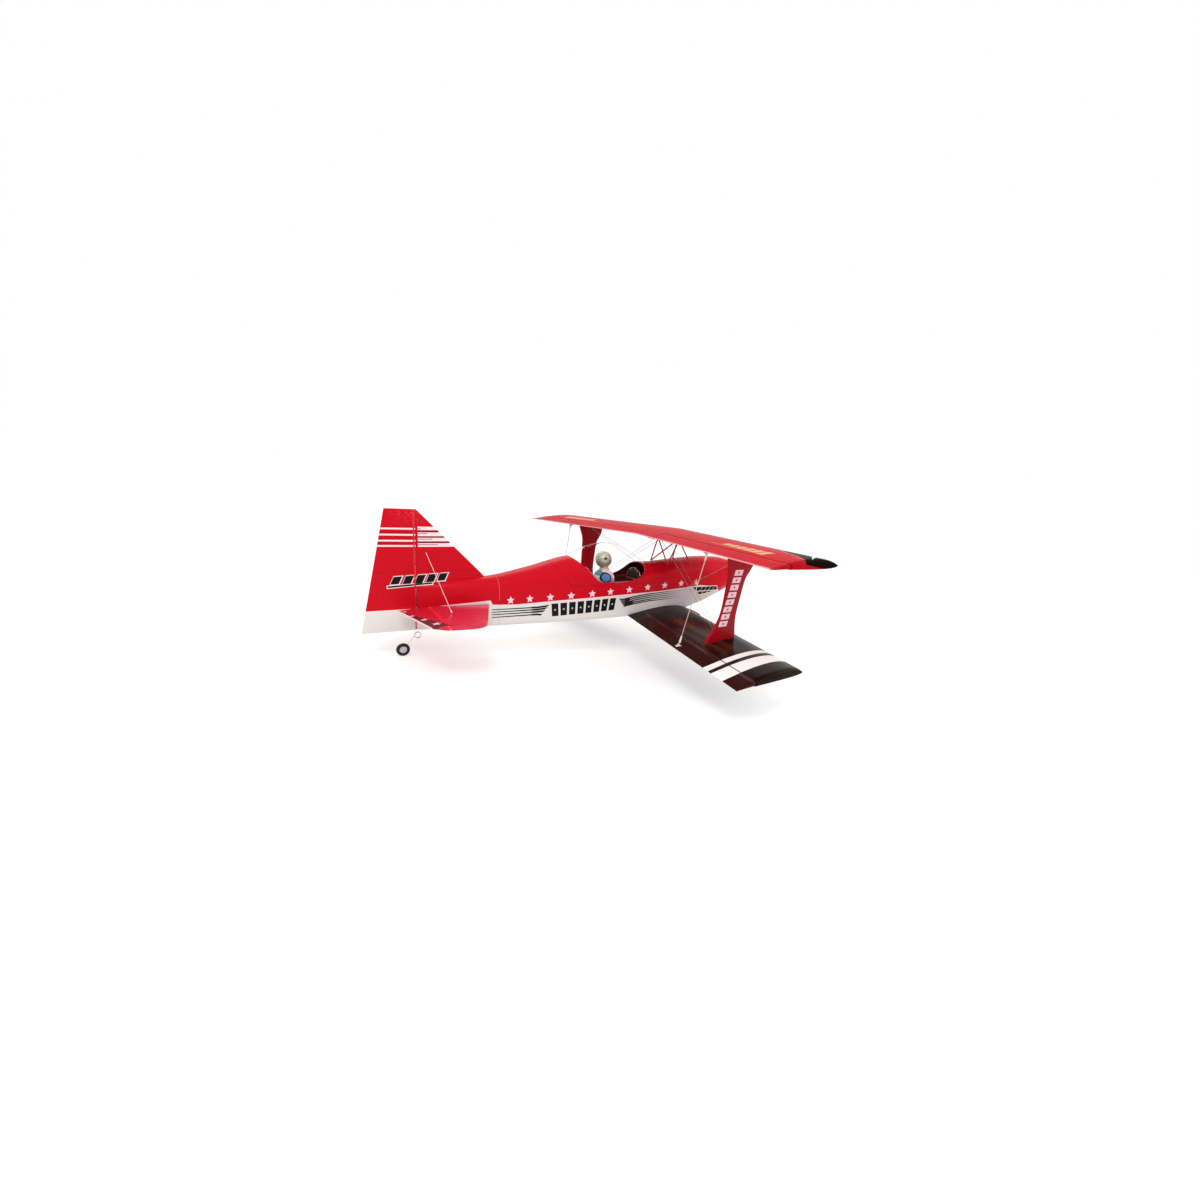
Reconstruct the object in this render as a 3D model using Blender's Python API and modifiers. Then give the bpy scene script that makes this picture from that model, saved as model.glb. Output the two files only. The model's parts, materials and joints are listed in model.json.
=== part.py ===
"""Radio-controlled sport biplane with electric power.

The aircraft is drawn in its own datum frame: +X to the nose, +Y to port, +Z up, with the origin on the
centre line at the trailing edge of the lower wing's root.  The whole assembly then stands on its three
wheels, nose up, with the ground at z = 0.  All lengths are metres.
"""
import math

import bmesh
import bpy
from mathutils import Matrix, Vector

for old_object in list(bpy.data.objects):
    bpy.data.objects.remove(old_object, do_unlink=True)

# ---------------------------------------------------------------------------------------------
# Driving dimensions
# ---------------------------------------------------------------------------------------------
GAP = 0.0004                    # clearance between pieces that touch on the real aircraft
SKIN = 0.0025                   # moulded foam and glass skins

# Wings: leading edge station, root chord, slopes of the leading edge's sweep, the chord's taper and the
# trailing edge's dihedral, trailing edge height, half span, and how far the leading edge rises above
# the trailing edge at the root and per metre of span
UPPER_WING = dict(le=-0.004, chord=0.176, sweep=0.108, taper=0.0, dihedral=-0.0134, z=0.198,
                  half_span=0.550, rise=0.003, twist=0.0)
LOWER_WING = dict(le=-0.032, chord=0.186, sweep=0.136, taper=0.0238, dihedral=-0.0613, z=0.000,
                  half_span=0.530, rise=0.003, twist=0.0162)
AIRFOIL_THICKNESS = 0.115
AIRFOIL_CAMBER = 0.024
AIRFOIL_CAMBER_PLACE = 0.40
AILERON_CHORD = 0.044
AILERON_INNER = 0.086
AILERON_NOSE = 0.0052
TIP_ROUNDING = 0.012            # the last stretch of span over which the tip thins out
LOWER_ROOT = 0.0576             # root rib of the lower wing panels, just outside the fuselage side
JOINER_X = -0.100               # tube that carries both lower wing panels
JOINER_RADIUS = 0.0040
JOINER_HALF_LENGTH = 0.150

# Fuselage and cowl
FUSELAGE_TAIL = -0.545
FUSELAGE_NOSE = -0.015
COWL_FRONT = 0.157
DECK_ROUNDNESS = 2.2            # exponent of the deck's arch; 2 is an ellipse
THRUST_Z = 0.0868

# Tail
RUDDER_HINGE_X = -0.7125
RUDDER_NOSE = 0.0040
FIN_TOP = 0.2426
RUDDER_BOTTOM = -0.0085
ELEVATOR_HINGE_X = -0.690
ELEVATOR_NOSE = 0.0042
STAB_Z = 0.0386
STAB_THICKNESS = 0.0088
ELEVATOR_ROOT = Vector((-0.7480, 0.0205, STAB_Z))   # inner and outer corners of the port elevator's edge
ELEVATOR_TIP = Vector((-0.7195, 0.1790, STAB_Z))
BRACE_TOP = Vector((-0.6880, 0.0, 0.1550))          # where the brace wire crosses the fin
BRACE_FOOT = Vector((-0.6600, 0.0930, STAB_Z + STAB_THICKNESS / 2 + 0.0012))
RUDDER_HORN_Z = 0.078
ELEVATOR_HORN_Y = 0.0470

# Struts and rigging
STRUT_Y = 0.3493                # span station of the struts' tops
STRUT_TOP = 0.190
STRUT_LEAN = 0.080              # the struts' feet stand inboard of and ahead of their tops
STRUT_RAKE = 0.0665
STRUT_THICKNESS = 0.008
# Side view of an upright strut before it is raked and leaned: x, z down its rear edge and up its front
STRUT_REAR = [(-0.170, 0.205), (-0.164, 0.176), (-0.1590, 0.148), (-0.1630, 0.114), (-0.1690, 0.072),
              (-0.1775, 0.045), (-0.1940, 0.020), (-0.2075, 0.000), (-0.2085, -0.020)]
STRUT_FRONT = [(-0.1270, -0.020), (-0.1275, 0.006), (-0.1300, 0.034), (-0.1290, 0.058), (-0.1210, 0.097),
               (-0.1120, 0.134), (-0.0990, 0.154), (-0.0895, 0.172), (-0.0820, 0.205)]
CABANE_FRONT_FOOT = Vector((-0.0260, 0.0400, 0.1245))
CABANE_REAR_FOOT = Vector((-0.1000, 0.0400, 0.1205))
CABANE_FRONT_TOP = Vector((-0.0395, 0.0045, 0.1810))
CABANE_REAR_TOP = Vector((-0.1060, 0.0045, 0.1810))
CABANE_ROD = 0.0018
WIRE_RADIUS = 0.0005

# Landing gear
AXLE = Vector((0.035, 0.120, -0.105))
MAIN_WHEEL_RADIUS = 0.030
MAIN_WHEEL_WIDTH = 0.018
TAIL_WHEEL = Vector((-0.736, 0.0, -0.0495))
TAIL_WHEEL_RADIUS = 0.0132
TAIL_WHEEL_WIDTH = 0.0085
TAIL_WIRE = 0.0009

# Power
PROP_X = 0.1700
PROP_RADIUS = 0.140
PROP_REST_ANGLE = math.radians(28.0)
SPINNER_RADIUS = 0.0225
SPINNER_BACK = 0.1600
SPINNER_TIP = 0.2060

# Control linkages
HORN_LENGTH = 0.014
LINK_ROD = 0.0009
LOWER_LINK_Y = 0.3010           # lower and upper ends of the rods that tie the ailerons together
UPPER_LINK_Y = 0.3260
LINK_OFFSET = Vector((-0.035, 0.0, 0.0))
LINK_PIVOT = 0.0065             # height of the rods' pivots off the hinge lines
AILERON_SERVO_Y = 0.220
AILERON_SERVO_AHEAD = 0.062     # servo shaft ahead of the aileron hinge
TAIL_SERVO_X = -0.505

REF_CENTRE_X = -0.3062          # datum station that ends up over the ground origin

# ---------------------------------------------------------------------------------------------
# Materials and collections
# ---------------------------------------------------------------------------------------------
RED = (0.55, 0.008, 0.020)
WHITE = (0.80, 0.79, 0.77)
BLACK = (0.025, 0.018, 0.020)
GREY = (0.35, 0.36, 0.38)
STEEL = (0.55, 0.56, 0.58)

FINISHES = {
    "red_film": (RED, 0.28, 0.0),
    "black_film": (BLACK, 0.22, 0.0),
    "white_paint": (WHITE, 0.30, 0.0),
    "dark_plastic": (BLACK, 0.45, 0.0),
    "nylon": (WHITE, 0.50, 0.0),
    "steel": (STEEL, 0.25, 1.0),
    "aluminium": (GREY, 0.35, 1.0),
    "rubber": ((0.03, 0.03, 0.032), 0.80, 0.0),
    "wood": ((0.55, 0.38, 0.20), 0.60, 0.0),
    "pilot_grey": ((0.45, 0.45, 0.44), 0.40, 0.0),
    "clear": ((0.85, 0.88, 0.88), 0.05, 0.0),
    "blue_sleeve": ((0.05, 0.12, 0.45), 0.40, 0.0),
    "cockpit_brown": ((0.10, 0.045, 0.03), 0.60, 0.0),
}


def make_material(name):
    """One Principled material for a named finish."""
    colour, roughness, metallic = FINISHES[name]
    material = bpy.data.materials.new(name)
    material.use_nodes = True
    shader = material.node_tree.nodes["Principled BSDF"]
    shader.inputs["Base Color"].default_value = (*colour, 1.0)
    shader.inputs["Roughness"].default_value = roughness
    shader.inputs["Metallic"].default_value = metallic
    return material


MATERIALS = {name: make_material(name) for name in FINISHES}

PARTS = bpy.data.collections.new("rc_biplane")
CUTTERS = bpy.data.collections.new("cutters")
bpy.context.scene.collection.children.link(PARTS)
bpy.context.scene.collection.children.link(CUTTERS)

# The aircraft stands on its wheels: a pitch that puts main and tail wheel bottoms on one level
_reach = AXLE.x - TAIL_WHEEL.x
_drop = AXLE.z - TAIL_WHEEL.z
PITCH = (math.asin((MAIN_WHEEL_RADIUS - TAIL_WHEEL_RADIUS) / math.hypot(_reach, _drop))
         - math.atan2(_drop, _reach))
HUB_HEIGHT = AXLE.x * math.sin(PITCH) + AXLE.z * math.cos(PITCH)

aircraft = bpy.data.objects.new("aircraft", None)
PARTS.objects.link(aircraft)
aircraft.rotation_euler = (0.0, -PITCH, 0.0)
aircraft.location = (-REF_CENTRE_X * math.cos(PITCH), 0.0, MAIN_WHEEL_RADIUS - HUB_HEIGHT)


# ---------------------------------------------------------------------------------------------
# Modelling helpers
# ---------------------------------------------------------------------------------------------
def add_part(name, mesh, finish, pivot=(0.0, 0.0, 0.0), smooth=math.radians(35)):
    """Put a mesh drawn in the datum frame into the assembly, with its origin on its joint's axis."""
    pivot = Vector(pivot)
    mesh.transform(Matrix.Translation(-pivot))
    mesh.name = name
    mesh.materials.clear()
    mesh.materials.append(MATERIALS[finish])
    mesh.shade_smooth()
    mesh.set_sharp_from_angle(angle=smooth)
    part = bpy.data.objects.new(name, mesh)
    part.parent = aircraft
    part.location = pivot
    PARTS.objects.link(part)
    return part


def add_cutter(name, mesh):
    """A hidden solid that only cuts its neighbours."""
    cutter = bpy.data.objects.new(name, mesh)
    cutter.parent = aircraft
    cutter.hide_render = True
    cutter.display_type = "WIRE"
    CUTTERS.objects.link(cutter)
    return cutter


def combine(part, other, operation):
    """Boolean modifier between a part and a cutter."""
    modifier = part.modifiers.new(operation.lower(), "BOOLEAN")
    modifier.operation = operation
    modifier.solver = "EXACT"
    modifier.object = other
    return part


def to_mesh(bm, name="shape"):
    """Finish a bmesh with outward normals."""
    bmesh.ops.recalc_face_normals(bm, faces=bm.faces)
    mesh = bpy.data.meshes.new(name)
    bm.to_mesh(mesh)
    bm.free()
    return mesh


def loft(rings, capped=True):
    """Skin through rings that all have the same number of points."""
    bm = bmesh.new()
    rows = [[bm.verts.new(point) for point in ring] for ring in rings]
    count = len(rows[0])
    for low, high in zip(rows, rows[1:]):
        for k in range(count):
            bm.faces.new((low[k], low[(k + 1) % count], high[(k + 1) % count], high[k]))
    if capped:
        bm.faces.new(rows[0])
        bm.faces.new(rows[-1])
    return to_mesh(bm)


def box(low, high):
    """Axis-aligned block between two corners."""
    low, high = Vector(low), Vector(high)
    bm = bmesh.new()
    bmesh.ops.create_cube(bm, size=1.0)
    bmesh.ops.scale(bm, vec=high - low, verts=bm.verts)
    bmesh.ops.translate(bm, vec=(low + high) / 2, verts=bm.verts)
    return to_mesh(bm)


def cylinder(start, end, radius, sides=16, end_radius=None):
    """Round bar or cone between two points."""
    start, end = Vector(start), Vector(end)
    bm = bmesh.new()
    bmesh.ops.create_cone(bm, cap_ends=True, segments=sides, radius1=radius,
                          radius2=radius if end_radius is None else end_radius,
                          depth=(end - start).length)
    turn = Vector((0, 0, 1)).rotation_difference(end - start).to_matrix().to_4x4()
    bm.transform(Matrix.Translation((start + end) / 2) @ turn)
    return to_mesh(bm)


def prism(outline, low, high, axis="Y"):
    """Flat outline extruded along one axis; an outline for Y holds (x, z), for Z (x, y), for X (y, z)."""
    def place(a, b, level):
        if axis == "Y":
            return (a, level, b)
        if axis == "Z":
            return (a, b, level)
        return (level, a, b)
    return loft([[place(a, b, low) for a, b in outline], [place(a, b, high) for a, b in outline]])


def turned(profile, centre, axis="Y", sides=24):
    """Solid of revolution; the profile's points are (distance along the axis, radius)."""
    rings = []
    for k in range(sides):
        angle = 2 * math.pi * k / sides
        c, s = math.cos(angle), math.sin(angle)
        ring = []
        for along, radius in profile:
            if axis == "Y":
                ring.append(Vector(centre) + Vector((radius * c, along, radius * s)))
            else:
                ring.append(Vector(centre) + Vector((along, radius * c, radius * s)))
        rings.append(ring)
    bm = bmesh.new()
    rows = [[bm.verts.new(point) for point in ring] for ring in rings]
    count = len(profile)
    for k in range(sides):
        here, after = rows[k], rows[(k + 1) % sides]
        for j in range(count):
            bm.faces.new((here[j], here[(j + 1) % count], after[(j + 1) % count], after[j]))
    bmesh.ops.remove_doubles(bm, verts=bm.verts, dist=1e-6)
    bmesh.ops.dissolve_degenerate(bm, edges=bm.edges, dist=1e-7)
    return to_mesh(bm)


def wire_mesh(points, radius, resolution=1):
    """Round wire through its points, made from a bevelled curve with welded caps."""
    curve = bpy.data.curves.new("wire", "CURVE")
    curve.dimensions = "3D"
    curve.bevel_depth = radius
    curve.bevel_resolution = resolution
    curve.use_fill_caps = True
    spline = curve.splines.new("POLY")
    spline.points.add(len(points) - 1)
    for target, point in zip(spline.points, points):
        target.co = (*point, 1.0)
    holder = bpy.data.objects.new("wire", curve)
    bpy.context.scene.collection.objects.link(holder)
    graph = bpy.context.evaluated_depsgraph_get()
    mesh = bpy.data.meshes.new_from_object(holder.evaluated_get(graph))
    bpy.data.objects.remove(holder, do_unlink=True)
    bm = bmesh.new()
    bm.from_mesh(mesh)
    bmesh.ops.remove_doubles(bm, verts=bm.verts, dist=radius * 0.02)
    return to_mesh(bm)


def solid_union(name, meshes, finish, pivot=(0.0, 0.0, 0.0)):
    """One part whose overlapping closed shells are joined by Boolean unions."""
    part = add_part(name, meshes[0], finish, pivot)
    for number, mesh in enumerate(meshes[1:]):
        combine(part, add_cutter(f"{name}_join_{number}", mesh), "UNION")
    return part


def blend(a, b, t):
    """Straight-line mix of two numbers or vectors."""
    return a + (b - a) * t


def mirrored(point):
    """The same point on the other side of the aircraft."""
    return Vector((point[0], -point[1], point[2]))


# ---------------------------------------------------------------------------------------------
# Wings
# ---------------------------------------------------------------------------------------------
def airfoil(x):
    """Upper and lower surface heights at a fraction of the chord, as fractions of the chord."""
    root = math.sqrt(x)
    half = 5 * AIRFOIL_THICKNESS * (0.2969 * root - 0.126 * x - 0.3516 * x ** 2 + 0.2843 * x ** 3
                                    - 0.1015 * x ** 4) + 0.0025 * x
    p, m = AIRFOIL_CAMBER_PLACE, AIRFOIL_CAMBER
    if x < p:
        camber = m / p ** 2 * (2 * p * x - x * x)
    else:
        camber = m / (1 - p) ** 2 * ((1 - 2 * p) + 2 * p * x - x * x)
    return camber + half, camber - half


def chord_at(wing, y):
    """Chord length at one span station."""
    return wing["chord"] - wing["taper"] * abs(y)


def wing_point(wing, y, fraction):
    """Point on the chord line; fraction 0 is the leading edge and 1 the trailing edge."""
    x = wing["le"] - wing["sweep"] * abs(y) - fraction * chord_at(wing, y)
    rise = wing["rise"] + wing["twist"] * abs(y)
    z = wing["z"] + wing["dihedral"] * abs(y) + (1 - fraction) * rise
    return Vector((x, y, z))


def tip_fullness(wing, y):
    """Thickness factor: one over most of the span, falling on a round curve at the tip."""
    inside = wing["half_span"] - abs(y)
    if inside >= TIP_ROUNDING:
        return 1.0
    t = 1 - max(inside, 0.0) / TIP_ROUNDING
    return 0.45 + 0.55 * math.sqrt(1 - t * t)


def wing_ring(wing, y, grow=0.0, points=11):
    """Airfoil outline at one span station, from the trailing edge over the top and back below."""
    full = tip_fullness(wing, y)
    fractions = [(1 - math.cos(math.pi * k / points)) / 2 for k in range(points + 1)]
    ring = []
    for fraction in reversed(fractions):
        top = airfoil(fraction)[0] * chord_at(wing, y) * full + grow
        ring.append(wing_point(wing, y, fraction) + Vector((0, 0, top)))
    for fraction in fractions[0 if grow else 1:]:
        bottom = airfoil(fraction)[1] * chord_at(wing, y) * full - grow
        ring.append(wing_point(wing, y, fraction) + Vector((0, 0, bottom)))
    return ring


def hinge_point(wing, y):
    """Point on the aileron's straight hinge line, the centre of its round nose, at one span station."""
    ends = []
    for station in (0.0, wing["half_span"]):
        chord = chord_at(wing, station)
        fraction = 1 - AILERON_CHORD / chord
        upper, lower = airfoil(fraction)
        ends.append(wing_point(wing, station, fraction) + Vector((0, 0, (upper + lower) / 2 * chord)))
    point = blend(ends[0], ends[1], abs(y) / wing["half_span"])
    return Vector((point.x, y, point.z))


def aileron_cut(wing, side):
    """Space behind the wing's rear spar that the aileron needs, out past the tip."""
    inner = AILERON_INNER - GAP
    outer = wing["half_span"] + 0.01
    ahead = AILERON_NOSE + GAP
    edge = [hinge_point(wing, y).x + ahead for y in (inner, outer)]
    outline = [(edge[0], side * inner), (edge[1], side * outer), (edge[1] - 0.08, side * outer),
               (edge[0] - 0.08, side * inner)]
    return prism(outline, wing["z"] - 0.06, wing["z"] + 0.04, axis="Z")


def control_ring(nose, tail, up, radius, tail_half):
    """Section of a hinged surface: a round nose about the hinge, and straight sides to the edge."""
    aft = (tail - nose).normalized()
    ring = [nose - aft * radius * math.cos(a) + up * radius * math.sin(a)
            for a in [math.radians(d) for d in (-90, -60, -30, 0, 30, 60, 90)]]
    return ring + [tail + up * tail_half, tail - up * tail_half]


def tip_stations(wing):
    """Span stations that follow the tip's rounding."""
    return [wing["half_span"] - TIP_ROUNDING * k for k in (1.0, 0.6, 0.25, 0.0)]


def mirrored_wing(name, wing, finish):
    """One-piece wing: the port half is drawn and mirrored across the centre line."""
    rings = [wing_ring(wing, y) for y in [0.0, 0.30] + tip_stations(wing)]
    bm = bmesh.new()
    bm.from_mesh(loft(rings))
    for face in [f for f in bm.faces if all(abs(v.co.y) < 1e-7 for v in f.verts)]:
        bmesh.ops.delete(bm, geom=[face], context="FACES_ONLY")
    part = add_part(name, to_mesh(bm), finish)
    mirror = part.modifiers.new("other_half", "MIRROR")
    mirror.use_axis = (False, True, False)
    mirror.merge_threshold = 0.0001
    return part


def aileron_body(name, wing, side, finish, lower):
    """Aileron with its control horn and the lug of the rod that ties the two wings together."""
    inner, outer = AILERON_INNER, wing["half_span"] - 0.0005
    rings = []
    for y, nose in ((inner, AILERON_NOSE), (outer - TIP_ROUNDING, AILERON_NOSE),
                    (outer - TIP_ROUNDING * 0.35, AILERON_NOSE * 0.86), (outer, AILERON_NOSE * 0.45)):
        tail = wing_point(wing, side * y, 1.0)
        rings.append(control_ring(hinge_point(wing, side * y), tail, Vector((0, 0, 1)), nose, 0.0007))
    pieces = [loft(rings)]
    link_y = LOWER_LINK_Y if lower else UPPER_LINK_Y
    lug = hinge_point(wing, side * link_y) + LINK_OFFSET
    way = 1 if lower else -1
    root = blend(hinge_point(wing, lug.y), wing_point(wing, lug.y, 1.0), -LINK_OFFSET.x / AILERON_CHORD)
    low, high = sorted((root.z, lug.z + way * (LINK_PIVOT + 0.0025)))
    pieces.append(box((lug.x - 0.004, lug.y - 0.0008, low), (lug.x + 0.004, lug.y + 0.0008, high)))
    if lower:
        horn = hinge_point(wing, side * AILERON_SERVO_Y)
        outline = [(horn.x + 0.0035, horn.z - 0.002), (horn.x - 0.012, horn.z - 0.002),
                   (horn.x - 0.0025, horn.z - HORN_LENGTH - 0.0025),
                   (horn.x + 0.0025, horn.z - HORN_LENGTH - 0.0025)]
        pieces.append(prism(outline, horn.y - 0.0008, horn.y + 0.0008))
    return solid_union(name, pieces, finish, hinge_point(wing, side * inner))


def build_wings():
    """Upper wing, two lower panels on a joiner tube, and four ailerons."""
    upper = mirrored_wing("upper_wing", UPPER_WING, "red_film")
    for side, label in ((1, "left"), (-1, "right")):
        combine(upper, add_cutter(f"upper_aileron_space_{label}", aileron_cut(UPPER_WING, side)),
                "DIFFERENCE")
    for side, label in ((1, "left"), (-1, "right")):
        stations = [LOWER_ROOT, 0.30] + tip_stations(LOWER_WING)
        panel = add_part(f"lower_wing_{label}",
                         loft([wing_ring(LOWER_WING, side * y) for y in stations]), "black_film")
        combine(panel, add_cutter(f"lower_aileron_space_{label}", aileron_cut(LOWER_WING, side)),
                "DIFFERENCE")
        socket = cylinder((JOINER_X, side * 0.04, joiner_height()),
                          (JOINER_X, side * (JOINER_HALF_LENGTH + 0.001), joiner_height()),
                          JOINER_RADIUS + GAP)
        combine(panel, add_cutter(f"joiner_socket_{label}", socket), "DIFFERENCE")
        shaft = servo_shaft(side)
        pocket = box(shaft + Vector((-0.0125, -side * 0.0010 - 0.0085, -0.006)),
                     shaft + Vector((0.0215, -side * 0.0010 + 0.0085, 0.0062)))
        combine(panel, add_cutter(f"servo_pocket_{label}", pocket), "DIFFERENCE")
        aileron_body(f"upper_aileron_{label}", UPPER_WING, side, "red_film", False)
        aileron_body(f"lower_aileron_{label}", LOWER_WING, side, "black_film", True)
    add_part("wing_joiner_tube",
             cylinder((JOINER_X, -JOINER_HALF_LENGTH, joiner_height()),
                      (JOINER_X, JOINER_HALF_LENGTH, joiner_height()), JOINER_RADIUS), "dark_plastic")


def joiner_height():
    """Height of the joiner tube: inside the panels' thickness over its whole length."""
    return LOWER_WING["z"] + 0.0020


def servo_shaft(side):
    """Output shaft of an aileron servo, level with the lower skin of its wing panel."""
    hinge = hinge_point(LOWER_WING, side * AILERON_SERVO_Y)
    return hinge + Vector((AILERON_SERVO_AHEAD, 0.0, -0.0060))


# ---------------------------------------------------------------------------------------------
# Fuselage, cowl and canopy
# ---------------------------------------------------------------------------------------------
# Station, half width, bottom corner radius, bottom, shoulder and top heights
FUSELAGE_STATIONS = [
    (-0.7079, 0.0075, 0.0040, -0.0085, 0.055, 0.086),
    (-0.6600, 0.0195, 0.0080, -0.0085, 0.060, 0.094),
    (-0.6000, 0.0290, 0.0090, -0.0080, 0.066, 0.099),
    (-0.5450, 0.0360, 0.0100, -0.0080, 0.070, 0.1025),
    (-0.4600, 0.0460, 0.0120, -0.0080, 0.076, 0.1205),
    (-0.4100, 0.0505, 0.0120, -0.0080, 0.078, 0.1340),
    (-0.3670, 0.0535, 0.0120, -0.0080, 0.080, 0.1430),
    (-0.3100, 0.0562, 0.0120, -0.0080, 0.081, 0.1390),
    (-0.2400, 0.0570, 0.0120, -0.0080, 0.082, 0.1300),
    (-0.1400, 0.0570, 0.0120, -0.0080, 0.083, 0.1240),
    (-0.0600, 0.0570, 0.0130, -0.0040, 0.084, 0.1300),
    (-0.0150, 0.0568, 0.0180, 0.0060, 0.085, 0.1335),
    (0.0300, 0.0560, 0.0280, 0.0140, 0.085, 0.1360),
    (0.0700, 0.0535, 0.0370, 0.0240, 0.085, 0.1355),
    (0.1050, 0.0500, 0.0430, 0.0335, 0.085, 0.1330),
    (0.1300, 0.0450, 0.0400, 0.0430, 0.086, 0.1280),
    (0.1470, 0.0380, 0.0345, 0.0510, 0.0866, 0.1220),
    (0.1570, 0.0300, 0.0280, 0.0575, 0.0868, 0.1170),
]
CANOPY_TOPS = [(-0.376, 0.139), (-0.367, 0.1435), (-0.337, 0.159), (-0.2985, 0.171), (-0.262, 0.1745),
               (-0.225, 0.168), (-0.192, 0.151), (-0.165, 0.129), (-0.155, 0.124)]


def station_at(x):
    """Fuselage section values at any station, by a smooth curve through the listed ones."""
    rows = FUSELAGE_STATIONS
    if x <= rows[0][0]:
        return rows[0][1:]
    if x >= rows[-1][0]:
        return rows[-1][1:]
    k = max(i for i in range(len(rows) - 1) if rows[i][0] <= x)
    before, here = rows[max(k - 1, 0)], rows[k]
    after, beyond = rows[k + 1], rows[min(k + 2, len(rows) - 1)]
    t = (x - here[0]) / (after[0] - here[0])
    values = []
    for column in range(1, 6):
        slope_in = (after[column] - before[column]) / (after[0] - before[0])
        slope_out = (beyond[column] - here[column]) / (beyond[0] - here[0])
        span = after[0] - here[0]
        values.append((2 * t ** 3 - 3 * t ** 2 + 1) * here[column]
                      + (t ** 3 - 2 * t ** 2 + t) * span * slope_in
                      + (3 * t ** 2 - 2 * t ** 3) * after[column]
                      + (t ** 3 - t ** 2) * span * slope_out)
    return tuple(values)


def section_ring(x, inset=0.0, top=None):
    """Fuselage cross-section: flat bottom, round lower corners, straight sides and an arched deck."""
    half, corner, bottom, shoulder, peak = station_at(x)
    peak = peak if top is None else top
    half, bottom, peak = half - inset, bottom + inset, peak - inset
    corner = max(corner - inset, 0.002)
    side = [(0.0, bottom)]
    for k in range(5):
        angle = math.radians(-90 + 22.5 * k)
        side.append((half - corner + corner * math.cos(angle), bottom + corner + corner * math.sin(angle)))
    for k in range(9):
        angle = math.radians(90 * k / 8)
        power = 2 / DECK_ROUNDNESS
        side.append((half * max(math.cos(angle), 0.0) ** power,
                     shoulder + (peak - shoulder) * math.sin(angle) ** power))
    side[-1] = (0.0, peak)
    return ([Vector((x, y, z)) for y, z in side]
            + [Vector((x, -y, z)) for y, z in reversed(side[1:-1])])


def stations_between(low, high, step=0.03):
    """Evenly spaced stations that include both ends."""
    count = max(2, round((high - low) / step) + 1)
    return [blend(low, high, k / (count - 1)) for k in range(count)]


def skin(name, rings, finish, thickness):
    """Open skin thickened inwards."""
    part = add_part(name, loft(rings, capped=False), finish)
    solidify = part.modifiers.new("thickness", "SOLIDIFY")
    solidify.thickness = thickness
    solidify.offset = -1.0
    solidify.use_even_offset = True
    return part


def smooth_outline(points, steps=3):
    """Closed or open outline rounded by a Catmull-Rom curve through its points."""
    result = [points[0]]
    for k in range(len(points) - 1):
        p0, p1 = points[max(k - 1, 0)], points[k]
        p2, p3 = points[k + 1], points[min(k + 2, len(points) - 1)]
        for s in range(1, steps + 1):
            t = s / steps
            result.append(tuple(
                0.5 * ((2 * p1[c]) + (p2[c] - p0[c]) * t
                       + (2 * p0[c] - 5 * p1[c] + 4 * p2[c] - p3[c]) * t ** 2
                       + (3 * p1[c] - p0[c] - 3 * p2[c] + p3[c]) * t ** 3)
                for c in (0, 1)))
    return result


def cockpit_outline(shrink=0.0):
    """Side view of the cockpit opening: down from the headrest, along the sill, up to the coaming."""
    edge = smooth_outline([(-0.368, 0.1435), (-0.342, 0.122), (-0.324, 0.1010), (-0.306, 0.0860),
                           (-0.275, 0.0835), (-0.240, 0.0838), (-0.205, 0.0880), (-0.181, 0.1000),
                           (-0.169, 0.1160), (-0.163, 0.1300)], steps=2)
    if shrink:
        centre = Vector((-0.26, 0.16))
        edge = [tuple(Vector(p) + (centre - Vector(p)).normalized() * shrink) for p in edge]
    return [(edge[0][0], 0.24)] + edge + [(edge[-1][0], 0.24)]


def hatch_outline(grow=0.0):
    """Side view of the lift-off hatch.  Its ends lean aft, because it comes off upwards and aft."""
    return [(-0.5035 - grow, 0.24), (-0.3785 - grow, 0.0775 - grow), (-0.1235 + grow, 0.0775 - grow),
            (-0.1260 + grow, 0.095), (-0.1430 + grow, 0.1200), (-0.1430 + grow, 0.24)]


def build_fuselage():
    """Fuselage skin, lift-off hatch with canopy and cockpit, firewall and cowl."""
    shell = skin("fuselage_shell",
                 [section_ring(x) for x in stations_between(FUSELAGE_TAIL, FUSELAGE_NOSE, 0.044)],
                 "red_film", SKIN)
    combine(shell, add_cutter("hatch_opening", prism(hatch_outline(GAP), -0.09, 0.09)), "DIFFERENCE")
    tube_hole = cylinder((JOINER_X, -0.08, joiner_height()), (JOINER_X, 0.08, joiner_height()),
                         JOINER_RADIUS + GAP)
    combine(shell, add_cutter("joiner_hole", tube_hole), "DIFFERENCE")
    for label in ("rudder", "elevator"):
        low, high = tail_servo_box(label)
        window = box(low - Vector((GAP, 0, GAP)), high + Vector((GAP, 0.02, GAP)))
        combine(shell, add_cutter(f"{label}_servo_window", window), "DIFFERENCE")

    hatch = skin("hatch_frame", [section_ring(x) for x in stations_between(-0.45, -0.11, 0.028)],
                 "red_film", 0.0020)
    combine(hatch, add_cutter("hatch_limits", prism(hatch_outline(), -0.09, 0.09)), "INTERSECT")
    combine(hatch, add_cutter("cockpit_opening", prism(cockpit_outline(), -0.09, 0.09)), "DIFFERENCE")

    canopy_rings = []
    for x in stations_between(CANOPY_TOPS[0][0], CANOPY_TOPS[-1][0], 0.0184):
        canopy_rings.append(section_ring(x, top=canopy_top(x)))
    canopy = skin("canopy", canopy_rings, "clear", 0.0010)
    combine(canopy, add_cutter("canopy_limits", prism(cockpit_outline(0.0005), -0.09, 0.09)),
            "INTERSECT")

    build_cockpit()

    build_firewall()
    cowl_stations = [FUSELAGE_NOSE + GAP, 0.008, 0.030, 0.055, 0.080, 0.105, 0.122, 0.136, 0.147, 0.153,
                     COWL_FRONT]
    skin("cowl", [section_ring(x) for x in cowl_stations], "red_film", 0.0018)


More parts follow.
